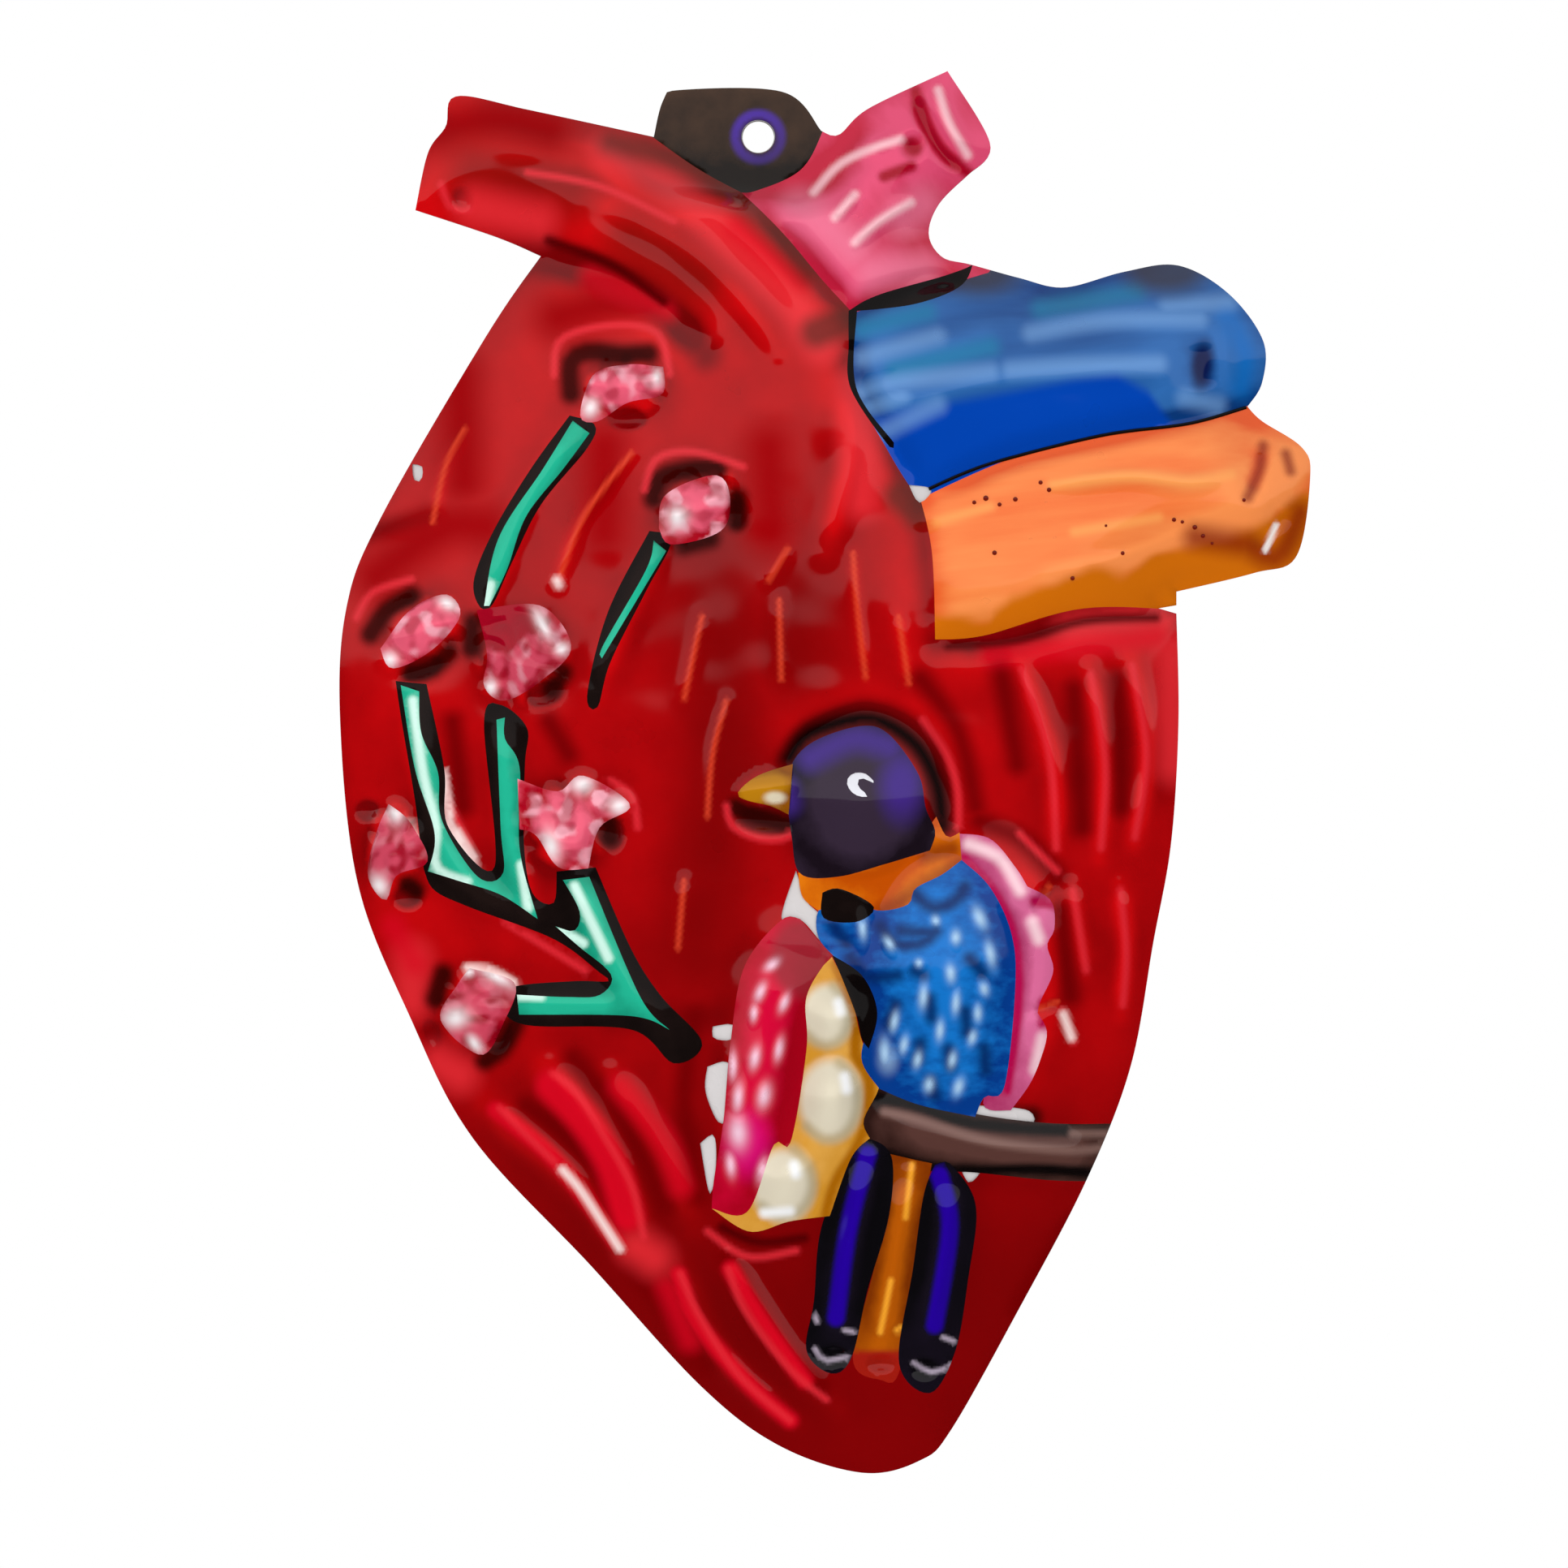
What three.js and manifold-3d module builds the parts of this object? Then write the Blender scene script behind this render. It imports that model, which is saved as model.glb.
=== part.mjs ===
// Embossed tin ornament in the shape of an anatomical heart with a bird and a flowering branch.
// Millimetres, +Z up, front facing -Y, origin at the centre of the hanging hole.
// One sheet is cut, punched and pressed; every colour is a lacquer film laid on its front.
import * as THREE from "three";
import Module from "manifold-3d";
import { mergeVertices } from "three/addons/utils/BufferGeometryUtils.js";

const SHEET = 0.3; // thickness of the metal
const FILM = 0.1; // thickness of a lacquer film
const BOND = 0.02; // primer between metal and film
const CROWN = 5.2; // how far the middle of the heart stands forward of its rim
const SHOULDER = 8.5; // how quickly the rim rises to the crown
const HOLE_R = 1.5; // punched hanging hole
const CELL = 3.1; // spacing of the points that carry the relief
const STEP = 2.4; // longest chord on a curved outline

const wasm = await Module();
wasm.setup();

// ---- outlines: [x, z] points on a smooth curve; a third value 1 marks a corner ----

function smoothLoop(points) {
  const first = Math.max(0, points.findIndex((p) => p[2]));
  const turned = [...points.slice(first), ...points.slice(0, first)];
  const runs = [];
  let run = [turned[0]];
  for (const p of [...turned.slice(1), turned[0]]) {
    run.push(p);
    if (p[2]) {
      runs.push(run);
      run = [p];
    }
  }
  if (!runs.length) runs.push(run);
  return runs.flatMap((r) => {
    const line = new THREE.SplineCurve(r.map((p) => new THREE.Vector2(p[0], p[1])));
    const n = r.length === 2 ? 1 : Math.max(r.length - 1, Math.round(line.getLength() / STEP));
    return line.getSpacedPoints(n).slice(0, -1);
  });
}

const heart = smoothLoop([
  [-28.9, 3.9], [-22, 2.6], [-10, 0, 1], [-9.1, 3.5], [-7.4, 4.5], [2.4, 4.3], [6, 0.6, 1],
  [7.7, 0.2], [10.5, 2.7], [18.1, 6.3, 1], [22.2, -0.7], [20.1, -3.6, 1], [17.3, -6.4],
  [16.3, -9.3], [17.6, -11.5], [20.3, -12.2], [25, -13.5], [29.3, -14.4], [35, -12.9],
  [40.2, -12.3], [45, -15], [48.3, -19.5], [48.2, -23.5], [46.8, -25.8, 1], [48.2, -27.2],
  [52, -29.7], [52.8, -32.5], [51.5, -40.1], [47.5, -41.7], [40, -43.5, 1], [40, -44.8, 1],
  [38.3, -45.1, 1], [40, -45.6, 1], [40.2, -56], [39.5, -67.5], [37.8, -77], [35.6, -89],
  [31.3, -100], [25, -112], [18.5, -123.6], [15.5, -126.6], [10, -127.8], [2, -125.2],
  [-5.5, -119.5], [-16, -108], [-27.3, -95.8], [-33.4, -84], [-38.3, -71.5], [-40, -56],
  [-39.4, -45], [-36, -36.2], [-26, -19], [-20.8, -11.4, 1], [-25, -9.6], [-32.8, -7, 1],
  [-31.6, -1.5], [-29.9, 1],
]);

// ---- relief: how far the front of the metal stands forward at a point ----

// Depth inside the rim, negative outside: the distance to a straight rim, rounded off between rims.
function rimDepth(x, z) {
  let sum = 0;
  let inside = false;
  heart.forEach((a, i) => {
    const b = heart[(i + 1) % heart.length];
    if (a.y > z !== b.y > z && x < a.x + ((z - a.y) * (b.x - a.x)) / (b.y - a.y)) inside = !inside;
    const len = a.distanceTo(b);
    const ux = (b.x - a.x) / len;
    const uz = (b.y - a.y) / len;
    const s1 = (a.x - x) * ux + (a.y - z) * uz;
    const s2 = s1 + len;
    const d = Math.hypot((a.x - x) * uz - (a.y - z) * ux, 0.02);
    sum += (s2 / Math.hypot(s2, d) - s1 / Math.hypot(s1, d)) / (d * d);
  });
  return Math.sqrt(2 / sum) * (inside ? 1 : -1);
}

// A pressed line: [height, half width, ...points]; a negative height is a groove.
const pressed = [
  [-1.3, 1.9, [-1, -6], [3, -10.2], [6, -13.8], [9, -17]], // red against pink
  [-1.6, 1.7, [9, -17], [14, -14.6], [20, -12.8]], // pink against blue
  [-1.7, 1.9, [9.2, -18], [9.4, -24], [12.8, -29.8], [15.4, -35], [16.8, -48]], // red against blue, orange
  [-1.6, 1.6, [15.6, -34.6], [24, -31], [33, -28.8], [46.8, -25.8]], // blue against orange
  [-1.7, 1.8, [17.2, -48.2], [24.5, -47], [31, -45.2], [38, -45.2]], // orange against red
  [-1.7, 2.0, [-20, -11.8], [-14, -13.6], [-8.5, -17], [-5, -21]], // under the left vessel
  [-1.1, 1.3, [15.1, 4.2], [15.9, 1.6], [17.5, -1.2], [20, -3.4]], // ring round the pink vessel
  [-1.4, 1.5, [42, -19.8], [42.6, -24.8]], // mouth of the blue vessel
  [-0.9, 1.2, [48.2, -30], [46.9, -34]], // mouth of the orange vessel
  [1.2, 2.0, [-26, -92.5], [-17, -100], [-13, -106]], // flutes of the lower left
  [1.2, 2.0, [-20, -89], [-13, -98], [-10.6, -105.5]],
  [0.9, 2.0, [-14, -89.5], [-8, -99], [-6, -104]],
  [1.1, 1.9, [-7.5, -108], [-3.5, -116.5], [3.4, -122.6]],
  [1.1, 1.9, [-3, -107], [3, -116], [7.6, -121.3]],
  [0.7, 1.3, [-28, -28], [-31, -37]], // stylus ridges of the upper heart
  [0.7, 1.3, [-12, -30.5], [-16.5, -36.5], [-19, -42.8]],
  [0.7, 1.4, [25, -50.5], [28.2, -61], [28.3, -69.6]],
  [0.7, 1.4, [31.6, -51], [33, -60], [32.5, -69]],
  [0.7, 1.4, [35.6, -50], [37.2, -59], [35.8, -67.5]],
  [0.8, 1.4, [-17.2, -28], [-22, -35], [-25.6, -44.5]], // stems and branch
  [0.8, 1.4, [-9.3, -38.8], [-14.8, -49.5]],
  [0.8, 1.5, [-33, -53], [-31, -63], [-29.4, -70]],
  [0.8, 1.5, [-24.3, -56], [-23.6, -66], [-21.5, -73.8]],
  [0.8, 1.5, [-17.4, -70.8], [-13, -80], [-8.8, -85]],
  [0.7, 1.4, [-22.4, -82.8], [-13, -82.8]],
  [-0.9, 1.5, [3.5, -58.6], [10.5, -54.9], [16.6, -58.4], [18.2, -66]], // moat round the head
  [1.4, 2.3, [23, -69], [27, -77], [25.6, -89]], // far wing
  [1.9, 3.0, [3, -77.5], [0.6, -87], [-1.4, -98]], // near wing
  [1.2, 3.0, [7.6, -81], [7, -92], [3, -101]], // breast
  [1.3, 2.2, [12.2, -93.8], [22, -96.4], [33.5, -97.2]], // perch
  [1.3, 1.7, [10.4, -97.5], [7.3, -114]], // tail feathers
  [1.3, 1.6, [14.3, -99], [11.9, -115]],
  [1.3, 1.7, [18.3, -99.5], [16, -115.5]],
].map(([height, half, ...at]) => {
  const curve = new THREE.SplineCurve(at.map((p) => new THREE.Vector2(...p)));
  return { height, half, line: curve.getPoints(4 * at.length) };
});

// A round swelling: [height, x, z, radius across, radius up].
const domes = [
  [3.0, 9.7, -63.6, 7.2, 7.5], // head
  [0.9, 0.8, -62.4, 3.2, 1.8], // beak
  [2.3, 17.6, -81, 8.2, 13], // blue wing
  [1.0, 7, -83.6, 2.8, 3.6], // breast lumps
  [1.4, 7, -91.8, 3.4, 4.2],
  [1.3, 2.6, -99.8, 3.2, 3.8],
  [1.4, -12.6, -24.1, 3.9, 2.6], // flowers
  [1.4, -6, -35.7, 3.6, 3],
  [1.4, -32, -47, 4, 2.8],
  [1.4, -22.3, -49.8, 4, 4.2],
  [1.4, -18.2, -66, 4, 4.2],
  [1.4, -34.8, -68.3, 2.8, 4.2],
  [1.4, -27.2, -83.4, 3.2, 4],
];

function smoothstep(a, b, v) {
  const t = Math.min(1, Math.max(0, (v - a) / (b - a)));
  return t * t * (3 - 2 * t);
}

function nearest(line, x, z) {
  let best = Infinity;
  for (let i = 1; i < line.length; i++) {
    const a = line[i - 1];
    const b = line[i];
    const t = ((x - a.x) * (b.x - a.x) + (z - a.y) * (b.y - a.y)) / a.distanceToSquared(b);
    const k = Math.min(1, Math.max(0, t));
    best = Math.min(best, Math.hypot(x - a.x - k * (b.x - a.x), z - a.y - k * (b.y - a.y)));
  }
  return best;
}

const tabLine = [new THREE.Vector2(-6.5, 1.2), new THREE.Vector2(2.6, 0.4)];

function relief(x, z) {
  const depth = rimDepth(x, z);
  let h = 0;
  for (const p of pressed) h += p.height * Math.exp(-((nearest(p.line, x, z) / p.half) ** 2));
  for (const [height, cx, cz, rx, rz] of domes) {
    const r2 = ((x - cx) / rx) ** 2 + ((z - cz) / rz) ** 2;
    if (r2 < 1) h += height * (1 - r2) ** 1.5;
  }
  h = CROWN * Math.tanh(depth / SHOULDER) + h * smoothstep(-0.5, 2.5, depth);
  return h * smoothstep(4.6, 9, nearest(tabLine, x, z)); // the tab stays flat
}

// ---- solids ----

function solid(geometry) {
  const bare = new THREE.BufferGeometry();
  bare.setAttribute("position", geometry.getAttribute("position"));
  if (geometry.index) bare.setIndex(geometry.index);
  const g = mergeVertices(bare, 1e-4);
  return new wasm.Manifold(
    new wasm.Mesh({
      numProp: 3,
      vertProperties: new Float32Array(g.attributes.position.array),
      triVerts: new Uint32Array(g.index.array),
    }),
  );
}

// Everything inside an outline, through the whole thickness of the work.
function prism(loop) {
  const g = new THREE.ExtrudeGeometry(new THREE.Shape(loop), { depth: 40, bevelEnabled: false });
  g.rotateX(Math.PI / 2);
  g.translate(0, 20, 0);
  return solid(g);
}

const LEFT = -42.5;
const LOW = -130;
const ACROSS = 32;
const UP = 45;
const heights = [];
for (let j = 0; j <= UP; j++)
  for (let i = 0; i <= ACROSS; i++) heights.push(relief(LEFT + i * CELL, LOW + j * CELL));

// A sheet that follows the relief, its back and front lying BACK and FRONT forward of it.
function layer(back, front) {
  const at = [];
  const side = (ACROSS + 1) * (UP + 1);
  for (const off of [back, front])
    heights.forEach((h, n) => {
      const i = n % (ACROSS + 1);
      const j = (n - i) / (ACROSS + 1);
      at.push(LEFT + i * CELL, -(h + off), LOW + j * CELL);
    });
  const faces = [];
  const quad = (a, b, c, d) => faces.push(a, b, c, a, c, d);
  const id = (i, j) => j * (ACROSS + 1) + i;
  for (let j = 0; j < UP; j++)
    for (let i = 0; i < ACROSS; i++) {
      const q = [id(i, j), id(i + 1, j), id(i + 1, j + 1), id(i, j + 1)];
      if ((i + j) % 2) q.push(q.shift());
      const [a, b, c, d] = q;
      quad(a + side, b + side, c + side, d + side);
      quad(a, d, c, b);
    }
  const wall = (a, b) => quad(a, b, b + side, a + side);
  for (let i = 0; i < ACROSS; i++) {
    wall(id(i, 0), id(i + 1, 0));
    wall(id(i + 1, UP), id(i, UP));
  }
  for (let j = 0; j < UP; j++) {
    wall(id(0, j + 1), id(0, j));
    wall(id(ACROSS, j), id(ACROSS, j + 1));
  }
  const g = new THREE.BufferGeometry();
  g.setAttribute("position", new THREE.Float32BufferAttribute(at, 3));
  g.setIndex(faces);
  return solid(g);
}

const part = new THREE.Group();
part.name = "embossed_tin_heart";

function addNode(name, body, colour, roughness, metalness) {
  const m = body.getMesh();
  const n = m.numProp;
  const at = new Float32Array(m.numVert * 3);
  for (let i = 0; i < m.numVert; i++) at.set(m.vertProperties.subarray(i * n, i * n + 3), i * 3);
  const g = new THREE.BufferGeometry();
  g.setAttribute("position", new THREE.BufferAttribute(at, 3));
  g.setIndex(new THREE.BufferAttribute(m.triVerts, 1));
  const node = new THREE.Mesh(g, new THREE.MeshStandardMaterial({ color: colour, roughness, metalness }));
  node.name = name;
  part.add(node);
}

// ---- the metal: cut to the outline, pressed, and punched with a round hanging hole ----

function circle(r, n) {
  return Array.from({ length: n }, (_, i) => {
    const a = (2 * Math.PI * i) / n;
    return new THREE.Vector2(r * Math.cos(a), r * Math.sin(a));
  });
}

const blank = prism(heart);
const sheet = layer(0, SHEET).intersect(blank).subtract(prism(circle(HOLE_R, 24)));
addNode("tin_sheet", sheet, 0xb4b6b8, 0.35, 1);

// ---- the lacquer: each colour covers what is left of its own outline ----

let film = layer(SHEET + BOND, SHEET + BOND + FILM).intersect(blank);
film = film.subtract(prism(circle(HOLE_R + 0.15, 24)));
const GLOSS = 0.18;

function bodiesOf(solid) {
  return solid.decompose().sort((a, b) => b.volume() - a.volume());
}

function lacquer(name, colour, points) {
  const area = prism(smoothLoop(points));
  addNode(name, bodiesOf(film.intersect(area))[0], colour, GLOSS, 0.3);
  film = film.subtract(area);
}

// Bird: beak, head, collar, wings, breast, tail and the dark crescent between wing and breast.
lacquer("ochre_beak", 0xc98a14, [
  [3.3, -60, 1], [0, -61.1], [-1.9, -62.7], [-1.2, -63.4], [1.2, -64], [2.9, -64.8, 1],
]);
lacquer("purple_head", 0x3a2a66, [
  [3.2, -60], [5.4, -57.8], [9.8, -56.4], [12.4, -57.2], [15.2, -61], [15.9, -64.2],
  [16.8, -66.4], [16.3, -68.2, 1], [12, -69.5], [7.5, -70.7], [4, -70.4], [3.2, -67], [2.8, -63],
]);
lacquer("dark_throat_patch", 0x11201c, [
  [6.1, -72.2], [7.6, -71.8], [10.2, -72.9], [11, -73.9], [9.2, -75], [6.2, -74.6],
]);
lacquer("orange_collar", 0xe0650c, [
  [3.8, -70.3, 1], [7.5, -70], [12, -68.8], [15.6, -67.8], [16.1, -66.2], [16.9, -65, 1],
  [17.9, -66.9], [19.1, -66.5, 1], [19.3, -69.1, 1], [17.4, -70.5], [14.9, -71.8],
  [14.2, -73.3], [11.4, -73.9], [8.6, -73], [5.7, -73.9, 1], [4.2, -72.6],
]);
lacquer("dark_crescent", 0x17181a, [
  [7, -78.1, 1], [9.9, -80.1], [11.3, -83.5], [10.5, -87, 1], [9.8, -86], [9.3, -83.8], [8, -80.4],
]);
lacquer("blue_wing", 0x0a55a8, [
  [19.3, -69.1, 1], [22, -71.7], [24, -76], [24.4, -81], [23.4, -90.6], [21.5, -91.6],
  [20.6, -93.5, 1], [15.2, -92.3], [11.5, -90.8, 1], [9.8, -88], [10.4, -84], [9, -80.1],
  [5.8, -76.6], [6.1, -73.4], [10, -73.2], [14, -72], [17, -69.8],
]);
lacquer("pink_far_wing", 0xd8608c, [
  [18.9, -66.6, 1], [22, -67.1], [25.4, -69.8], [28.1, -74.4], [28.2, -79.6], [26.8, -83],
  [27.8, -86.6], [26.2, -90.4], [24, -92.9, 1], [21.4, -92.4], [22.4, -88], [22.4, -76], [18.6, -69.4],
]);
lacquer("magenta_near_wing", 0xd01060, [
  [4, -74.7, 1], [2.2, -74.8], [-1.3, -79.2], [-2.6, -86.3], [-3.3, -94], [-4.2, -99.5],
  [-4.4, -102.2, 1], [-1, -102.5], [1.5, -96.1], [3.1, -95.8], [4.6, -87], [4.6, -82],
  [6.9, -78.1, 1],
]);
lacquer("pearl_breast", 0xe0b060, [
  [7, -78.3, 1], [8.8, -82], [9.9, -86.4], [11.4, -89], [11.4, -90.9], [10, -93.8], [10.6, -95.5, 1],
  [8.8, -97.4], [6.8, -102.9, 1], [3, -103.4], [-0.8, -104.4], [-4.4, -102.2, 1], [-1, -100],
  [1, -95], [3.6, -87], [3.8, -82],
]);
lacquer("tail_feather_left", 0x2a1a6a, [
  [9, -96.3], [10.7, -95.6], [12.7, -97.4], [12.4, -103], [10.4, -110], [8.9, -116.4], [7, -118],
  [4.6, -115.8], [5.3, -111], [6, -104],
]);
lacquer("tail_feather_right", 0x2a1a6a, [
  [16.8, -98], [18.3, -98], [20.7, -102], [20, -109], [18.8, -116], [16.4, -120], [13.4, -117],
  [14.7, -108], [15.7, -101],
]);
lacquer("tail_feather_middle", 0xcc7410, [
  [12.5, -97, 1], [16.5, -97.9, 1], [15, -106], [13.5, -117.6], [11.6, -118.6], [9, -116.5], [11.2, -107],
]);
lacquer("brown_perch", 0x3c2624, [
  [9.6, -94.4], [10.6, -90.4], [15, -91.6], [20.6, -93.2], [28, -94.2], [36, -94.4, 1],
  [34, -100, 1], [28, -99.7], [20.6, -98.8], [14, -98.4], [10, -96.6],
]);

// Seven small roses.
const roses = [
  [[-16.9, -26.9], [-15.6, -23], [-12.5, -22.1], [-9, -22.3, 1], [-9.1, -24.9], [-12.5, -25.8],
    [-15.3, -27.5]],
  [[-9.4, -37.6], [-8.8, -34.5], [-4.2, -32.6], [-2.7, -34.4], [-3.4, -37.8], [-8.2, -39.2]],
  [[-36, -49], [-33, -45.3], [-29.6, -43.9], [-28.3, -46], [-31, -49.2], [-34.8, -50.9]],
  [[-26.7, -45.4], [-20.6, -45], [-17.7, -48.9], [-20.4, -52], [-24, -54], [-26, -52.6], [-25.7, -49.6]],
  [[-22.8, -61.4, 1], [-19, -62.6], [-16.6, -61.1], [-12.1, -63.9], [-15, -66], [-16.1, -69.9, 1],
    [-18.9, -69.8], [-21, -66.8], [-22.6, -66.2, 1]],
  [[-35.2, -63.8], [-33.2, -65.4], [-31.4, -69.2], [-34.4, -70.6], [-35.6, -73], [-37.3, -70.6],
    [-36.4, -66.6]],
  [[-27.4, -79.4], [-23.1, -80.8], [-24.2, -84.6], [-26.4, -87.7], [-30.3, -84.4], [-28.6, -81]],
];
roses.forEach((points, i) => lacquer("rose_" + (i + 1), 0xe07890, points));

// Green stems, each inside its black enamel edge.
lacquer("green_stem_1", 0x0aa183, [
  [-17.6, -27.4, 1], [-20.4, -32], [-24.6, -38.5], [-26, -45, 1], [-25.5, -45, 1], [-23.8, -41.5],
  [-22, -36.5], [-18.5, -32], [-16, -28.6, 1],
]);
lacquer("green_stem_2", 0x0aa183, [
  [-9.9, -38.8, 1], [-10.6, -41.6], [-14.7, -48.8], [-14.8, -50, 1], [-12.4, -46], [-8.7, -39.8, 1],
]);
lacquer("green_branch_left", 0x0aa183, [
  [-34, -52.5, 1], [-32.6, -60.5], [-30.7, -66.6], [-31.4, -70.2, 1], [-28.4, -71.1], [-24.4, -72.4],
  [-20.9, -74.7, 1], [-22.6, -68], [-22.6, -60.4], [-24, -57.6], [-24, -55.6, 1], [-24.8, -55.8, 1],
  [-24.4, -66], [-24.2, -70.4], [-26.6, -70.7], [-30, -65.4], [-30.4, -60.8], [-32, -57],
  [-32.2, -53.1, 1],
]);
lacquer("green_branch_right", 0x0aa183, [
  [-19.2, -75.4, 1], [-17, -77.3], [-13.9, -80], [-15, -81.9], [-18, -82.1], [-22.9, -81.9, 1],
  [-22.7, -83.8, 1], [-12, -83.9], [-8.4, -85.2, 1], [-11.2, -82], [-16, -70.7, 1], [-18.5, -71, 1],
  [-16.9, -74], [-17.4, -75.8],
]);
lacquer("black_edge_1", 0x141210, [
  [-17.9, -26.9], [-15.5, -27.8], [-16.2, -30], [-20.6, -35.4], [-23.4, -41], [-25.2, -44.9],
  [-26.4, -45.1], [-27, -42.6], [-25.2, -38], [-21.6, -32],
]);
lacquer("black_edge_2", 0x141210, [
  [-10.3, -37.9], [-8.2, -38.8], [-10.6, -43.6], [-14, -50.4], [-15.2, -54.6], [-16.2, -53.4],
  [-14.2, -45.5],
]);
lacquer("black_edge_branch", 0x141210, [
  [-34.5, -52.1, 1], [-33.9, -56], [-32.6, -63.6], [-31.8, -70, 1], [-30.8, -72], [-27.4, -73.6],
  [-19.4, -76.6], [-15, -79.8], [-14.2, -80.6], [-17.5, -80.6], [-23.4, -81.2], [-24.3, -83],
  [-22, -84.8], [-12, -85.2], [-8, -88.4], [-5.3, -86.4], [-9.2, -82], [-12, -77.6], [-15.4, -69.8, 1],
  [-19.1, -70.2, 1], [-19.4, -73.2], [-21.4, -72.2], [-22.2, -67.4], [-22.1, -60], [-21.9, -56.6],
  [-24.4, -54.4], [-26, -56], [-25, -69.8], [-29.4, -66], [-29.8, -60.4], [-31.5, -52.4, 1],
]);

// The vessels, the tab and the dark seam where the great vessels meet the heart.
lacquer("black_tab", 0x2c221c, [
  [-10.4, 0.2, 1], [-10.4, 6, 1], [8, 6, 1], [6.1, 0.4], [4, -3.2], [-0.2, -5.2], [-1.6, -5.4, 1], [-6, -2.9],
]);
lacquer("dark_seam", 0x241c1c, [
  [20.8, -11, 1], [19.5, -14.2], [15, -16.2], [9.4, -16.9, 1], [9.3, -24.2], [12.9, -29.5, 1], [12.1, -29.9],
  [8.3, -24.4], [8, -20], [8.6, -16.9, 1], [11.5, -15.3], [20, -12.5],
]);
lacquer("pink_vessel", 0xe05c80, [
  [-1.6, -5.4, 1], [2.5, -9.6], [6, -13.8], [9, -17.1, 1], [22, -13, 1], [40, 8, 1], [5, 8, 1], [4, -3, 1],
]);
lacquer("blue_vessel", 0x1c5aae, [
  [9, -17.1, 1], [9.2, -24], [12.4, -30.4], [15.2, -34.9, 1], [24, -31], [33, -28.8], [41, -27.7],
  [46.9, -25.7, 1], [56, -20, 1], [44, -6, 1], [20, -10, 1],
]);
lacquer("orange_vessel", 0xf06428, [
  [15.4, -34.8, 1], [16.5, -40], [16.8, -48.2, 1], [21.5, -47.8], [31, -45.2], [42, -45.3, 1],
  [58, -42, 1], [56, -24, 1], [40, -26, 1], [20, -30, 1],
]);

// Red covers the rest. The pocket closed off by two stems and a rose is a film of its own.
const [heartRed, pocketRed] = bodiesOf(film);
addNode("red_heart", heartRed, 0xa8060f, GLOSS, 0.3);
addNode("red_pocket", pocketRed, 0xa8060f, GLOSS, 0.3);

export default part;
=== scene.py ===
import math
import bpy
import numpy as np
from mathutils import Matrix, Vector
from mathutils.geometry import delaunay_2d_cdt


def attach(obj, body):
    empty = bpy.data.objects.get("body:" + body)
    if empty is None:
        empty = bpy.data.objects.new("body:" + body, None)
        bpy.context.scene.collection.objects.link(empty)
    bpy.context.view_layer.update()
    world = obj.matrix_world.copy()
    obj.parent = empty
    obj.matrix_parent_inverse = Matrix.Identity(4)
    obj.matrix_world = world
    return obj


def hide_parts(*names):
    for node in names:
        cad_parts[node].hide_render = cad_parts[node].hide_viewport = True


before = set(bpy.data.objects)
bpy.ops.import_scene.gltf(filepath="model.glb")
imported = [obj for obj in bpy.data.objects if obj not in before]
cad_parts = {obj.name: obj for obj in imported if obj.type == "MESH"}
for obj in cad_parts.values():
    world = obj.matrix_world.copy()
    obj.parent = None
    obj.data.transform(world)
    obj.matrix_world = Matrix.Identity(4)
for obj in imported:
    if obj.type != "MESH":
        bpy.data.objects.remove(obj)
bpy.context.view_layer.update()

MM = 0.001

# ---- The tin sheet ----
# One piece of bright tinplate, cut by hand to the outline of a heart with four cut-off vessels and
# a tab, pushed out from the back with styluses and punches, and punched with one hanging hole.
# Its back is left bare. All colours lie on its front.
SHEET = 0.3                # thickness of the metal, mm
CROWN = 5.2                # how far the middle stands forward of the rim
BELLY, BOW = -62, 3200     # height of the fullest part, and how slowly the crown falls away from it
SHOULDER = 8.5             # how far in from the rim the crown is nearly reached
TAB_FLAT = 4.6, 9          # distances from the tab's middle line where the relief starts and is full
WOBBLE = 0.03              # unevenness left by the hand
PETAL, STIPPLE, DOT = 0.55, 0.28, 0.4    # heights of crumpled petals, wing marks and rose dots
CREASE = 48                # folds sharper than this many degrees stay crisp
HOLE = 1.5                 # radius of the hanging hole
UNDERCUT = 0.14            # how far the bare face lies below the full thickness, under the films
FINE = 1.0


def spline(points, step):
    """A smooth line through points, in chords of one length."""
    p = np.array([q[:2] for q in points], float)
    if len(p) == 2:
        return p
    at = []
    for i in range(len(p) - 1):
        a, b, c, d = p[max(i - 1, 0)], p[i], p[i + 1], p[min(i + 2, len(p) - 1)]
        t = np.linspace(0, 1, 12, endpoint=False)[:, None]
        v0, v1 = (c - a) / 2, (d - b) / 2
        at.append((2 * b - 2 * c + v0 + v1) * t ** 3 + (3 * c - 3 * b - 2 * v0 - v1) * t ** 2 + v0 * t + b)
    at = np.vstack(at + [p[-1:]])
    run = np.r_[0, np.cumsum(np.hypot(*np.diff(at, axis=0).T))]
    n = max(len(p) - 1, int(round(run[-1] / step)))
    return np.stack([np.interp(np.linspace(0, run[-1], n + 1), run, at[:, k]) for k in (0, 1)], 1)


def loop(points, step=0.5):
    """A closed outline: smooth through its points, with a corner at each point marked 1."""
    first = next((i for i, q in enumerate(points) if len(q) > 2), 0)
    turned = points[first:] + points[:first + 1]
    runs, run = [], [turned[0]]
    for q in turned[1:]:
        run.append(q)
        if len(q) > 2:
            runs.append(run)
            run = [q]
    runs = runs or [run]
    return np.vstack([spline(r, step)[:-1] for r in runs])


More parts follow.
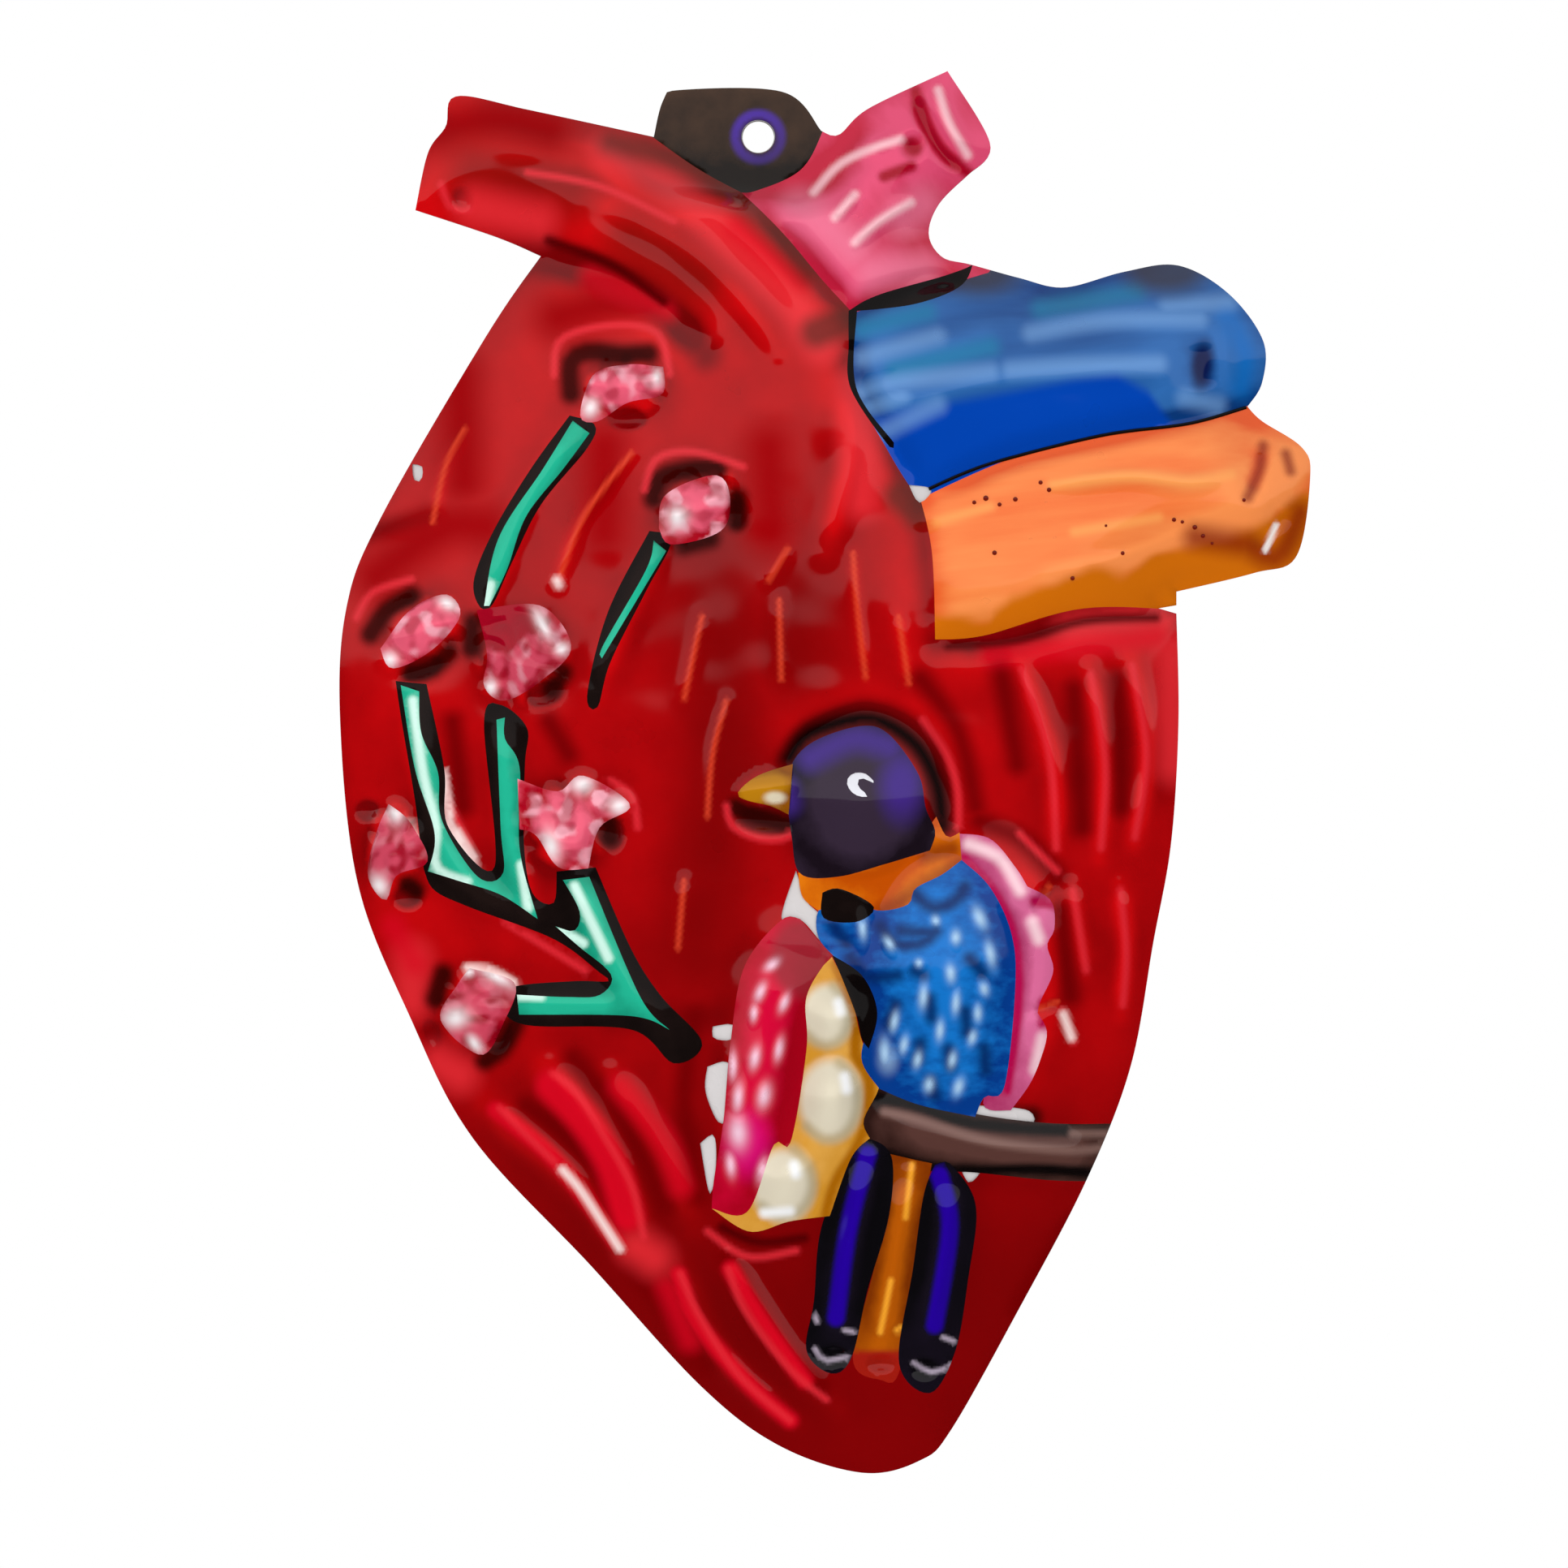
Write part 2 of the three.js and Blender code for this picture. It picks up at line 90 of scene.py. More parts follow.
heart = [
    (-28.9, 3.9), (-22, 2.6), (-10, 0, 1), (-9.1, 3.5), (-7.4, 4.5), (2.4, 4.3), (6, 0.6, 1),
    (7.7, 0.2), (10.5, 2.7), (18.1, 6.3, 1), (22.2, -0.7), (20.1, -3.6, 1), (17.3, -6.4),
    (16.3, -9.3), (17.6, -11.5), (20.3, -12.2), (25, -13.5), (29.3, -14.4), (35, -12.9),
    (40.2, -12.3), (45, -15), (48.3, -19.5), (48.2, -23.5), (46.8, -25.8, 1), (48.2, -27.2),
    (52, -29.7), (52.8, -32.5), (51.5, -40.1), (47.5, -41.7), (40, -43.5, 1), (40, -44.8, 1),
    (38.3, -45.1, 1), (40, -45.6, 1), (40.2, -56), (39.5, -67.5), (37.8, -77), (35.6, -89),
    (31.3, -100), (25, -112), (18.5, -123.6), (15.5, -126.6), (10, -127.8), (2, -125.2),
    (-5.5, -119.5), (-16, -108), (-27.3, -95.8), (-33.4, -84), (-38.3, -71.5), (-40, -56),
    (-39.4, -45), (-36, -36.2), (-26, -19), (-20.8, -11.4, 1), (-25, -9.6), (-32.8, -7, 1),
    (-31.6, -1.5), (-29.9, 1)]
rim = loop(heart, 1.1)


def inside(x, z, ring):
    """Which points lie inside a closed outline."""
    hit = np.zeros(len(x), bool)
    for (ax, az), (bx, bz) in zip(ring, np.roll(ring, -1, 0)):
        if az != bz:
            hit ^= ((az > z) != (bz > z)) & (x < ax + (z - az) * (bx - ax) / (bz - az))
    return hit


def rim_depth(x, z):
    """Distance in from the rim, rounded off between opposite rims; negative outside."""
    total = np.zeros(len(x))
    for (ax, az), (bx, bz) in zip(rim, np.roll(rim, -1, 0)):
        length = math.hypot(bx - ax, bz - az)
        ux, uz = (bx - ax) / length, (bz - az) / length
        s1 = (ax - x) * ux + (az - z) * uz
        s2 = s1 + length
        d = np.hypot((ax - x) * uz - (az - z) * ux, 0.02)
        total += (s2 / np.hypot(s2, d) - s1 / np.hypot(s1, d)) / (d * d)
    return np.sqrt(2 / total) * np.where(inside(x, z, rim), 1, -1)


def along(line, x, z):
    """Distance to a line, and how far along it from 0 to 1."""
    best, where = np.full(len(x), 1e9), np.zeros(len(x))
    n = len(line) - 1
    for i in range(n):
        (ax, az), (bx, bz) = line[i], line[i + 1]
        t = np.clip(((x - ax) * (bx - ax) + (z - az) * (bz - az)) / ((bx - ax) ** 2 + (bz - az) ** 2), 0, 1)
        d = np.hypot(x - ax - t * (bx - ax), z - az - t * (bz - az))
        near = d < best
        best = np.where(near, d, best)
        where = np.where(near, (i + t) / n, where)
    return best, where


def ease(a, b, v):
    """0 where v is a, 1 where it is b, smooth between and level beyond."""
    t = np.clip((v - a) / (b - a), 0, 1)
    return t * t * (3 - 2 * t)


def ripple(x, z, size, seed, octaves=2):
    """Uneven hand work: smooth noise of about -1 to 1, its lumps about size mm across."""
    rng = np.random.default_rng(seed)
    out = np.zeros(len(x))
    for k in range(octaves):
        for _ in range(14):
            angle, phase = rng.uniform(0, 2 * math.pi, 2)
            f = 2 * math.pi / size * 2 ** k * rng.uniform(0.6, 1.25)
            out += np.sin(f * (x * math.cos(angle) + z * math.sin(angle)) + phase) / 2 ** k / 5
    return out


# Pressed lines: height, half width, then the points the stylus followed. Below zero is a groove.
pressed = [
    (-1.0, 1.5, (-1, -6), (3, -10.2), (6, -13.8), (9, -17)),
    (-0.9, 1.3, (9, -17), (14, -14.6), (20, -12.8)),
    (-0.8, 1.5, (9.2, -18), (9.4, -24), (12.8, -29.8), (15.4, -35)),
    (-0.35, 1.4, (15.6, -36), (16.8, -48)),
    (-0.8, 1.2, (15.6, -34.6), (24, -31), (33, -28.8), (46.8, -25.8)),
    (-0.9, 1.4, (17.2, -48.6), (24.5, -47.8), (31, -46), (38, -45.8)),
    (-1.3, 1.7, (-20, -11.8), (-14, -13.6), (-8.5, -17), (-5, -21)),
    (0.5, 1.6, (-29, 0), (-18, -1.6), (-8, -4.6), (0, -11), (5.4, -18)),
    (0.35, 1.2, (-16, -6), (-8, -10), (-2, -15.4), (2, -21)),
    (-1.0, 0.8, (15, 4.6), (15.8, 1.6), (17.4, -1.2), (20.2, -3.6)),
    (0.5, 1.1, (17, 4.9), (18, 1.4), (19.8, -1.7)),
    (0.4, 0.9, (5.3, -5.4), (8.2, -2.2), (13.6, -0.2)),
    (0.4, 0.7, (7.3, -8), (9.2, -5.8)),
    (0.5, 0.7, (9.2, -10.4), (11.4, -8.4), (14.6, -6.4)),
    (0.9, 6.0, (8, -26), (13, -24.8), (20, -22.9), (30, -21.7), (38, -21.3), (44, -21.5)),
    (0.9, 5.5, (15, -45), (24, -43.2), (29, -41.4), (38, -39), (47, -36.4), (52, -33.4)),
    (0.3, 1.3, (10, -22.4), (17, -20.4), (24, -18.4)),
    (0.3, 1.3, (13, -26), (22, -23.4), (30, -22.4), (38, -22.2)),
    (0.25, 1.3, (25, -18.6), (33, -17), (43, -17.4)),
    (-0.5, 1.2, (41.9, -19.8), (42.7, -24.4)),
    (0.4, 0.9, (44.6, -17.5), (45, -24.5)),
    (0.3, 0.8, (28, -33.5), (35, -32.7), (41, -33.2), (45, -32.5)),
    (0.3, 0.9, (28, -42), (36, -40.3), (42, -37.6)),
    (-0.5, 0.8, (48.2, -30), (46.9, -34.2)),
    (-0.7, 1.0, (50.6, -35.6), (47.5, -39.6)),
    (0.9, 1.5, (-26, -92.5), (-17, -100), (-13, -106)),
    (1.0, 1.7, (-20, -89), (-13, -98), (-10.8, -105.5)),
    (0.7, 1.5, (-14, -89.5), (-8, -99), (-6, -104)),
    (0.9, 1.3, (-7.5, -108), (-3.5, -116.5), (3.4, -122.6)),
    (0.9, 1.3, (-3, -107), (3, -116), (7.6, -121.3)),
    (0.35, 0.65, (-28, -28), (-29.8, -31.5), (-31, -37)),
    (0.35, 0.6, (-12, -30.5), (-16.5, -36.5), (-19, -42.8)),
    (0.28, 0.6, (-5.3, -46), (-6.2, -50), (-7, -53.8)),
    (0.28, 0.6, (-3, -54), (-4.3, -59), (-4.8, -65)),
    (0.28, 0.6, (2.8, -39.6), (1, -42.6)),
    (0.28, 0.6, (2, -44.4), (2.2, -52)),
    (0.28, 0.6, (9, -40), (9.4, -45), (10.2, -51.8)),
    (0.28, 0.6, (13.3, -46), (14.3, -52.4)),
    (0.28, 0.6, (-7, -71), (-7.6, -77.5)),
    (0.5, 1.1, (8.6, -24), (8.8, -31), (6.4, -40)),
    (0.6, 0.9, (25, -50.5), (28, -60), (28.3, -68)),
    (0.5, 0.9, (31.5, -51), (33, -60), (32.5, -69)),
    (0.6, 0.9, (35.5, -50), (37.2, -59), (35.8, -67.5)),
    (0.4, 0.8, (29.8, -71.5), (31.2, -80)),
    (0.5, 0.9, (34.4, -71.5), (35.2, -77), (34.8, -84)),
    (0.5, 1.1, (-17.2, -28), (-22, -35), (-24.6, -41), (-25.8, -45)),
    (0.5, 1.1, (-9.3, -38.8), (-12, -44.5), (-15.2, -53)),
    (0.5, 1.1, (-33, -53), (-32, -60), (-30.6, -66.5), (-27.5, -71.2), (-21.5, -74.4)),
    (0.5, 1.1, (-24.3, -56), (-23.6, -66), (-21.5, -73.8)),
    (0.5, 1.2, (-17.4, -70.8), (-13, -80), (-8.8, -85)),
    (0.5, 1.1, (-22.4, -82.8), (-13, -82.8)),
    (-0.6, 1.0, (2.5, -60), (5, -57), (10.5, -54.9), (16, -58), (18, -65.5)),
    (1.1, 2.2, (23, -69), (27, -77), (25.6, -89)),
    (-0.5, 0.7, (27.6, -71.6), (25.8, -74.2)),
    (-0.4, 0.6, (28.4, -82.6), (26, -83.4)),
    (1.6, 2.8, (3, -77.5), (0.6, -87), (-1.4, -98)),
    (1.0, 2.9, (7.6, -81), (7, -92), (3, -101)),
    (1.0, 1.8, (12.2, -93.8), (22, -96.4), (33.5, -97.2)),
    (1.1, 1.3, (10.5, -97.5), (8.6, -106), (7.4, -113.2)),
    (0.9, 1.2, (14.4, -99), (13, -107), (11.9, -114.6)),
    (1.1, 1.3, (18.3, -99.5), (17.6, -107), (16, -113.6)),
]

# Round swellings pushed out with a ball punch: height, centre, radius across and up, lean.
swellings = [
    (3.0, 9.7, -63.6, 7.0, 7.4, 0), (0.9, 0.8, -62.3, 3.4, 1.7, 0.2), (2.3, 17.6, -81, 7.8, 12.6, 0),
    (1.0, 7, -83.6, 2.8, 3.6, 0), (1.4, 7, -91.8, 3.4, 4.2, 0), (1.3, 2.6, -99.8, 3.2, 3.8, -0.3),
    (1.4, -12.6, -24.1, 3.9, 2.6, 0.15), (1.4, -6, -35.7, 3.6, 3, 0), (1.4, -32, -47, 4, 2.8, 0.5),
    (1.4, -22.3, -49.8, 4, 4.2, 0), (1.4, -18.2, -66, 4, 4.2, 0), (1.4, -34.8, -68.3, 2.8, 4.2, 0),
    (1.4, -27.2, -83.4, 3.2, 4, 0),
    (-0.9, 0.7, -65.3, 3.0, 1.5, -0.1), (-0.8, 7.2, -116.3, 1.7, 1.2, 0), (-0.8, 11.7, -117, 1.6, 1.1, 0),
    (-0.8, 15.9, -117.6, 1.7, 1.3, 0), (-1.0, -28.4, -6, 1.2, 1.5, 0.4), (-0.9, 14.8, -1, 1.5, 1.6, 0),
    (-0.8, -12.4, -27.3, 2.2, 1.1, 0), (-0.8, -2, -36.3, 1.3, 1.8, 0), (-0.8, -32, -51, 2.6, 1.2, 0.4),
    (-0.8, -20.3, -53.3, 2.2, 1.4, 0.3), (-0.8, -14, -66.6, 1.5, 1.8, 0), (-0.8, -37.4, -64.4, 1.6, 1.2, 0),
    (-0.8, -33.4, -72.6, 1.8, 1.5, 0), (-0.8, -24.6, -86, 1.3, 1.8, -0.4),
(-0.8, -31.4, -85.8, 1.2, 1.8, 0.3),
]

# Where the swellings are crumpled into petals: centre, radius across and up.
petals_at = [
    (-12.6, -24.1, 4.4, 3.4), (-6, -35.7, 4.2, 3.8), (-32, -47, 4.4, 3.8), (-22.3, -49.8, 5, 5),
    (-18, -65.6, 5.4, 4.8), (-34.6, -68, 3.4, 5), (-27, -83.4, 4, 4.8)]

# Small marks stippled with a blunt point: centre, half width, half length, lean.
wing_marks = [
    (9.9, -75.6, 0.5, 1.3, 0.1), (12.4, -77, 0.5, 0.9, 0.5), (16.8, -74.8, 0.5, 0.6, 0.3),
    (18.7, -76.4, 0.6, 0.9, 0), (18.2, -79.8, 0.6, 1.1, 0.1), (15.2, -78.8, 0.45, 0.5, 0),
    (15.6, -82, 0.55, 1.4, -0.1), (12.9, -84.4, 0.5, 1.2, -0.2), (13.8, -86.6, 0.5, 1.1, -0.2),
    (12, -87.4, 0.7, 1.7, 0.05), (18.7, -82.6, 0.5, 1.3, -0.1), (21.4, -81.3, 0.55, 0.8, 0.3),
    (20.8, -83.6, 0.5, 1, 0), (17.2, -85.2, 0.5, 1.2, -0.1), (20.3, -85.9, 0.5, 0.9, -0.3),
    (15.1, -88, 0.5, 1, -0.2), (16.2, -90.4, 0.6, 0.9, -0.2), (19, -90.6, 0.6, 1.1, -0.3),
    (18.4, -88, 0.5, 1, -0.2), (21, -74.6, 0.7, 1.4, 0.4), (22, -78, 0.6, 1.5, 0.2)]
near_marks = [
    (1.3, -79, 0.5, 0.9, -0.9), (0.2, -81.6, 0.5, 1.1, -0.4), (-0.4, -83.6, 0.4, 0.9, -0.1),
    (2.5, -82.6, 0.45, 1, -0.4), (2, -87, 0.45, 1.2, -0.2), (-0.3, -87.8, 0.55, 1.2, -0.2),
    (0.6, -91.4, 0.7, 1.3, -0.2), (-2.4, -88.6, 0.45, 1.5, 0), (-1.9, -91.6, 0.55, 1.5, -0.1),
    (-1.9, -94.9, 1.0, 1.7, 0.1), (0.4, -98.6, 0.5, 1.2, -0.2), (-2.6, -98, 0.5, 1.2, 0.1)]
rose_dots = [
    (-35.1, -50.1, 0.75, 0.75, 0), (-29.5, -44.7, 0.9, 0.6, -0.5), (-2.7, -32.7, 0.5, 1.0, 0.2),
    (-7.7, -36.7, 1.0, 1.0, 0), (-20.4, -46.8, 0.55, 1.6, 0.5), (-18.6, -49.1, 0.65, 0.6, 0),
    (-25.4, -52.8, 0.6, 0.7, 0), (-16.6, -61.9, 0.95, 0.85, 0), (-13.1, -64, 0.95, 0.85, 0),
    (-19.6, -67.8, 0.8, 1.4, 0.2), (-34.5, -64.7, 0.8, 0.9, 0.4), (-36.2, -71.6, 0.8, 1.0, 0.5),
    (-28.8, -84.2, 1.3, 0.9, 0.2), (-24.9, -80.2, 0.5, 1.7, 1.1), (-27.5, -79.7, 0.5, 0.5, 0),
    (-15.9, -26.2, 0.7, 0.9, -0.3), (-9.5, -23.2, 0.5, 0.8, 0), (-27, -86.6, 0.5, 0.9, 0.6),
    (-19, -42.8, 0.5, 0.5, 0)]
tab_line = np.array([(-6.5, 1.2), (2.6, 0.4)])


def dabs(marks, x, z):
    """Soft spots, 1 at the middle of each mark."""
    out = np.zeros(len(x))
    for cx, cz, rx, rz, lean in marks:
        near = (abs(x - cx) < 3 * rz) & (abs(z - cz) < 3 * rz)
        dx, dz = x[near] - cx, z[near] - cz
        u = dx * math.cos(lean) + dz * math.sin(lean)
        v = dz * math.cos(lean) - dx * math.sin(lean)
        out[near] = np.maximum(out[near], np.exp(-(u / rx) ** 2 - (v / rz) ** 2))
    return out


def relief(x, z):
    """How far the metal stands forward of the rim's plane, in mm."""
    depth = rim_depth(x, z)
    work = np.zeros(len(x))
    for height, half, *points in pressed:
        line = spline(points, 1.0)
        lo, hi = line.min(0) - 3 * half, line.max(0) + 3 * half
        near = (x > lo[0]) & (x < hi[0]) & (z > lo[1]) & (z < hi[1])
        d, t = along(line, x[near], z[near])
        fade = 0.35 + 0.65 * np.minimum(ease(0, 0.2, t), ease(1, 0.8, t))     # lighter at both ends
        work[near] += height * fade * np.exp(-(d / half) ** 2)
    for height, cx, cz, rx, rz, lean in swellings:
        u = (x - cx) * math.cos(lean) + (z - cz) * math.sin(lean)
        v = (z - cz) * math.cos(lean) - (x - cx) * math.sin(lean)
        r2 = (u / rx) ** 2 + (v / rz) ** 2
        work += height * np.clip(1 - r2, 0, None) ** 1.5
    for cx, cz, rx, rz in petals_at:
        near = 1 - np.hypot((x - cx) / rx, (z - cz) / rz)
        work += PETAL * ease(0, 0.3, near) * (abs(ripple(x, z, 4.2, 7, 1)) - 0.3)
    work += STIPPLE * dabs(wing_marks + near_marks, x, z) + DOT * dabs(rose_dots, x, z)
    work += WOBBLE * ripple(x, z, 11, 1)
    bow = (z - BELLY) ** 2 / BOW
    h = (CROWN - bow) * np.tanh(depth / SHOULDER) + work * ease(-0.5, 2.5, depth)
    return h * ease(*TAB_FLAT, along(tab_line, x, z)[0])


def lattice(x0, x1, z0, z1, step):
    """Points at the corners of equal triangles."""
    rows = np.arange(z0, z1, step * 0.866)
    cols = np.arange(x0, x1, step)
    x, z = np.meshgrid(cols, rows)
    x = x + (np.arange(len(rows)) % 2)[:, None] * step / 2
    return np.stack([x.ravel(), z.ravel()], 1)


def triangulate(rings, fill):
    """One set of triangles that keeps every ring's edges: points and triples."""
    points, edges = [], []
    for ring in rings:
        n, k = len(points), len(ring)
        points += [tuple(q) for q in ring]
        edges += [(n + i, n + (i + 1) % k) for i in range(k)]
    points += [tuple(q) for q in fill]
    flat, _, faces, *_ = delaunay_2d_cdt([Vector(q) for q in points], edges, [], 0, 1e-5)
    return np.array([tuple(q) for q in flat]), np.array([f for f in faces if len(f) == 3])


def shell(name, flat, faces, front, back):
    """A closed skin over flat triangles: front and back give how far each point stands forward."""
    used, faces = np.unique(faces, return_inverse=True)
    faces = faces.reshape(-1, 3)
    at = flat[used]
    a, b, c = (at[faces[:, k]] for k in range(3))
    turn = (b[:, 0] - a[:, 0]) * (c[:, 1] - a[:, 1]) - (b[:, 1] - a[:, 1]) * (c[:, 0] - a[:, 0])
    faces[turn < 0] = faces[turn < 0][:, ::-1]
    n = len(at)
    pairs = np.vstack([faces[:, [0, 1]], faces[:, [1, 2]], faces[:, [2, 0]]])
    code = pairs[:, 0].astype(np.int64) * n + pairs[:, 1]
    open_edge = pairs[~np.isin(code, pairs[:, 1].astype(np.int64) * n + pairs[:, 0])]
    edge = np.zeros(n, bool)
    edge[open_edge] = True
    f, g = front(at[:, 0], at[:, 1], edge), back(at[:, 0], at[:, 1], edge)
    verts = np.vstack([np.stack([at[:, 0], -h, at[:, 1]], 1) for h in (f, g)]) * MM
    walls = np.stack([open_edge[:, 1], open_edge[:, 0], open_edge[:, 0] + n, open_edge[:, 1] + n], 1)
    mesh = bpy.data.meshes.new(name)
    mesh.from_pydata(verts.tolist(), [], faces.tolist() + (faces[:, ::-1] + n).tolist() + walls.tolist())
    mesh.shade_smooth()
    mesh.set_sharp_from_angle(angle=math.radians(CREASE))
    piece = bpy.data.objects.new(name, mesh)
    bpy.context.scene.collection.objects.link(piece)
    return piece


def near_ring(fill, rings, gap):
    """Keeps the points that are not too close to any ring."""
    cells = set()
    for ring in rings:
        for q in ring:
            i, j = int(q[0] // gap), int(q[1] // gap)
            cells.update((i + a, j + b) for a in (-1, 0, 1) for b in (-1, 0, 1))
    key = np.floor(fill / gap).astype(int)
    return fill[[tuple(k) not in cells for k in key.tolist()]]


class Value:
    """A shader socket that can be added, taken away and multiplied like a number."""

    def __init__(self, mat, socket):
        self.mat, self.socket = mat, socket

    def maths(self, kind, other, swap=False):
        pair = (other, self) if swap else (self, other)
        return self.mat.node("ShaderNodeMath", dict(operation=kind), {0: pair[0], 1: pair[1]})[0]

    def __add__(self, o): return self.maths("ADD", o)
    def __radd__(self, o): return self.maths("ADD", o, True)
    def __sub__(self, o): return self.maths("SUBTRACT", o)
    def __rsub__(self, o): return self.maths("SUBTRACT", o, True)
    def __mul__(self, o): return self.maths("MULTIPLY", o)
    def __rmul__(self, o): return self.maths("MULTIPLY", o, True)
    def clip(self):
        return self.mat.node("ShaderNodeClamp", {}, {0: self})[0]


def srgb(code):
    """A colour from its usual six figures."""
    parts = [int(code[i:i + 2], 16) / 255 for i in (0, 2, 4)]
    return tuple(c / 12.92 if c <= 0.04045 else ((c + 0.055) / 1.055) ** 2.4 for c in parts) + (1.0,)


class Nodes:
    """A node tree whose nodes are written as they are used."""

    def __init__(self, tree):
        self.tree = tree

    def node(self, kind, settings, sockets):
        made = self.tree.nodes.new(kind)
        for key, value in settings.items():
            setattr(made, key, value)
        for key, value in sockets.items():
            self.plug(made.inputs[key], value)
        return [Value(self, s) for s in made.outputs]

    def plug(self, socket, value):
        if isinstance(value, Value):
            self.tree.links.new(value.socket, socket)
        else:
            socket.default_value = value

    def mix(self, share, a, b):
        return self.node("ShaderNodeMix", dict(data_type="RGBA"), {0: share, 6: a, 7: b})[2]


class Finish(Nodes):
    """A lacquer, metal or paper."""

    def __init__(self, name):
        self.material = bpy.data.materials.new(name)
        self.material.use_nodes = True
        super().__init__(self.material.node_tree)
        self.skin = self.tree.nodes["Principled BSDF"]

    def set(self, **sockets):
        for key, value in sockets.items():
            self.plug(self.skin.inputs[key.replace("_", " ")], value)

    def place(self, stretch, kind="POINT", turn=(0, 0, 0)):
        """A spot's place on the object, scaled along x, y and z and turned."""
        here = self.node("ShaderNodeTexCoord", {}, {})[3]
        return self.node("ShaderNodeMapping", dict(vector_type=kind), {0: here, 2: turn, 3: stretch})[0]

    def noise(self, size, detail=3.0, rough=0.55):
        """Clouds about size mm across."""
        return self.node("ShaderNodeTexNoise", {}, {
            "Vector": self.place((1000 / size,) * 3), "Scale": 1.0,
            "Detail": detail, "Roughness": rough})[0]

    def attribute(self, name):
        return self.node("ShaderNodeAttribute", dict(attribute_name=name), {})[2]

    def bump(self, height, depth_mm):
        return self.node("ShaderNodeBump", {}, {
            "Strength": 1.0, "Distance": depth_mm * MM, "Height": height})[0]


def put(piece, finish, slot, *nodes):
    """Gives a piece its finish, its body, and the solids that it stands for."""
    piece.data.materials.append(finish.material)
    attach(piece, "root")
    if nodes:
        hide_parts(*nodes)


def circle(radius, count):
    """Points round the hole's centre."""
    turns = np.linspace(0, 2 * math.pi, count, False)
    return np.array([(radius * math.cos(a), radius * math.sin(a)) for a in turns])


outline, hole = loop(heart, 0.5), circle(HOLE, 64)
fill = lattice(-41, 54, -129, 7, 0.55 * FINE)
fill = fill[inside(*fill.T, outline) & (np.hypot(*fill.T) > HOLE + 0.1)]
flat, faces = triangulate([outline, hole], near_ring(fill, [outline, hole], 0.4))
middle = flat[faces].mean(1)
keep = inside(*middle.T, outline) & (np.hypot(*middle.T) > HOLE)
tin_sheet = shell("tin_plate", flat, faces[keep],
                  lambda x, z, e: relief(x, z) + SHEET - UNDERCUT, lambda x, z, e: relief(x, z))


def corners(piece):
    """Every mesh point of a piece, as its x, y and z in mm."""
    at = np.zeros(len(piece.data.vertices) * 3)
    piece.data.vertices.foreach_get("co", at)
    return at.reshape(-1, 3).T / MM


x, y, z = corners(tin_sheet)
tin_sheet.data.attributes.new("front", "FLOAT", "POINT").data.foreach_set(
    "value", (-y > relief(x, z) + SHEET / 4).astype(float))

tin = Finish("bright tinplate")
grain = tin.node("ShaderNodeTexNoise", {}, {
    "Vector": tin.place((400, 1000, 9000)), "Scale": 1.0, "Detail": 4.0})[0]
tarnish, front = tin.noise(7.0), tin.attribute("front")
tin.set(Base_Color=tin.mix(front, tin.mix(tarnish, srgb("c8c8c6"), srgb("f0f0ee")), srgb("c8c4c4")),
        Metallic=0.92 - 0.87 * front,
        Roughness=0.14 + 0.26 * tarnish, Normal=tin.bump(grain + 0.3 * tin.noise(2.0), 0.006))
put(tin_sheet, tin, "tin_sheet", "tin_sheet")

# ---- The bird's beak and head ----
# Gloss lacquer brushed over bright metal, ochre on the beak and purple over black on the head.
# Each colour is a film about a tenth of a millimetre thick, rounded off at its edge.
FILM = 0.1                 # how far the lacquer stands above the metal
BITE = 0.08                # how far its back reaches into the metal, so that no gap shows
EDGE = 0.85                # the film's thickness at its edge, as a share
painted = []               # outlines already laid, which later films leave free
punched = circle(HOLE + 0.12, 64)        # the lacquer stops just short of the hole

# The relief on a square grid, and how far each spot stands above its surroundings, since the lacquer
# is thin on crests and pools in hollows.
GRID = 0.3 * FINE
grid_x, grid_z = np.arange(-42, 55, GRID), np.arange(-130, 9, GRID)
ground = relief(*(g.ravel() for g in np.meshgrid(grid_x, grid_z))).reshape(len(grid_z), len(grid_x))


def blurred(a, size):
    """The grid with everything smaller than about size mm smoothed away."""
    k = np.exp(-(np.arange(-round(2.5 * size / GRID), round(2.5 * size / GRID) + 1) * GRID / size) ** 2 / 2)
    k /= k.sum()
    for axis in (0, 1):
        a = np.apply_along_axis(lambda r: np.convolve(np.pad(r, len(k) // 2, "edge"), k, "valid"), axis, a)
    return a


crest = ground - blurred(ground, 2.0)


def sample(a, x, z):
    """The grid's value at any spot, between its four nearest points."""
    i = np.clip((x - grid_x[0]) / GRID, 0, len(grid_x) - 2)
    j = np.clip((z - grid_z[0]) / GRID, 0, len(grid_z) - 2)
    i0, j0 = i.astype(int), j.astype(int)
    u, v = i - i0, j - j0
    return ((a[j0, i0] * (1 - u) + a[j0, i0 + 1] * u) * (1 - v)
            + (a[j0 + 1, i0] * (1 - u) + a[j0 + 1, i0 + 1] * u) * v)


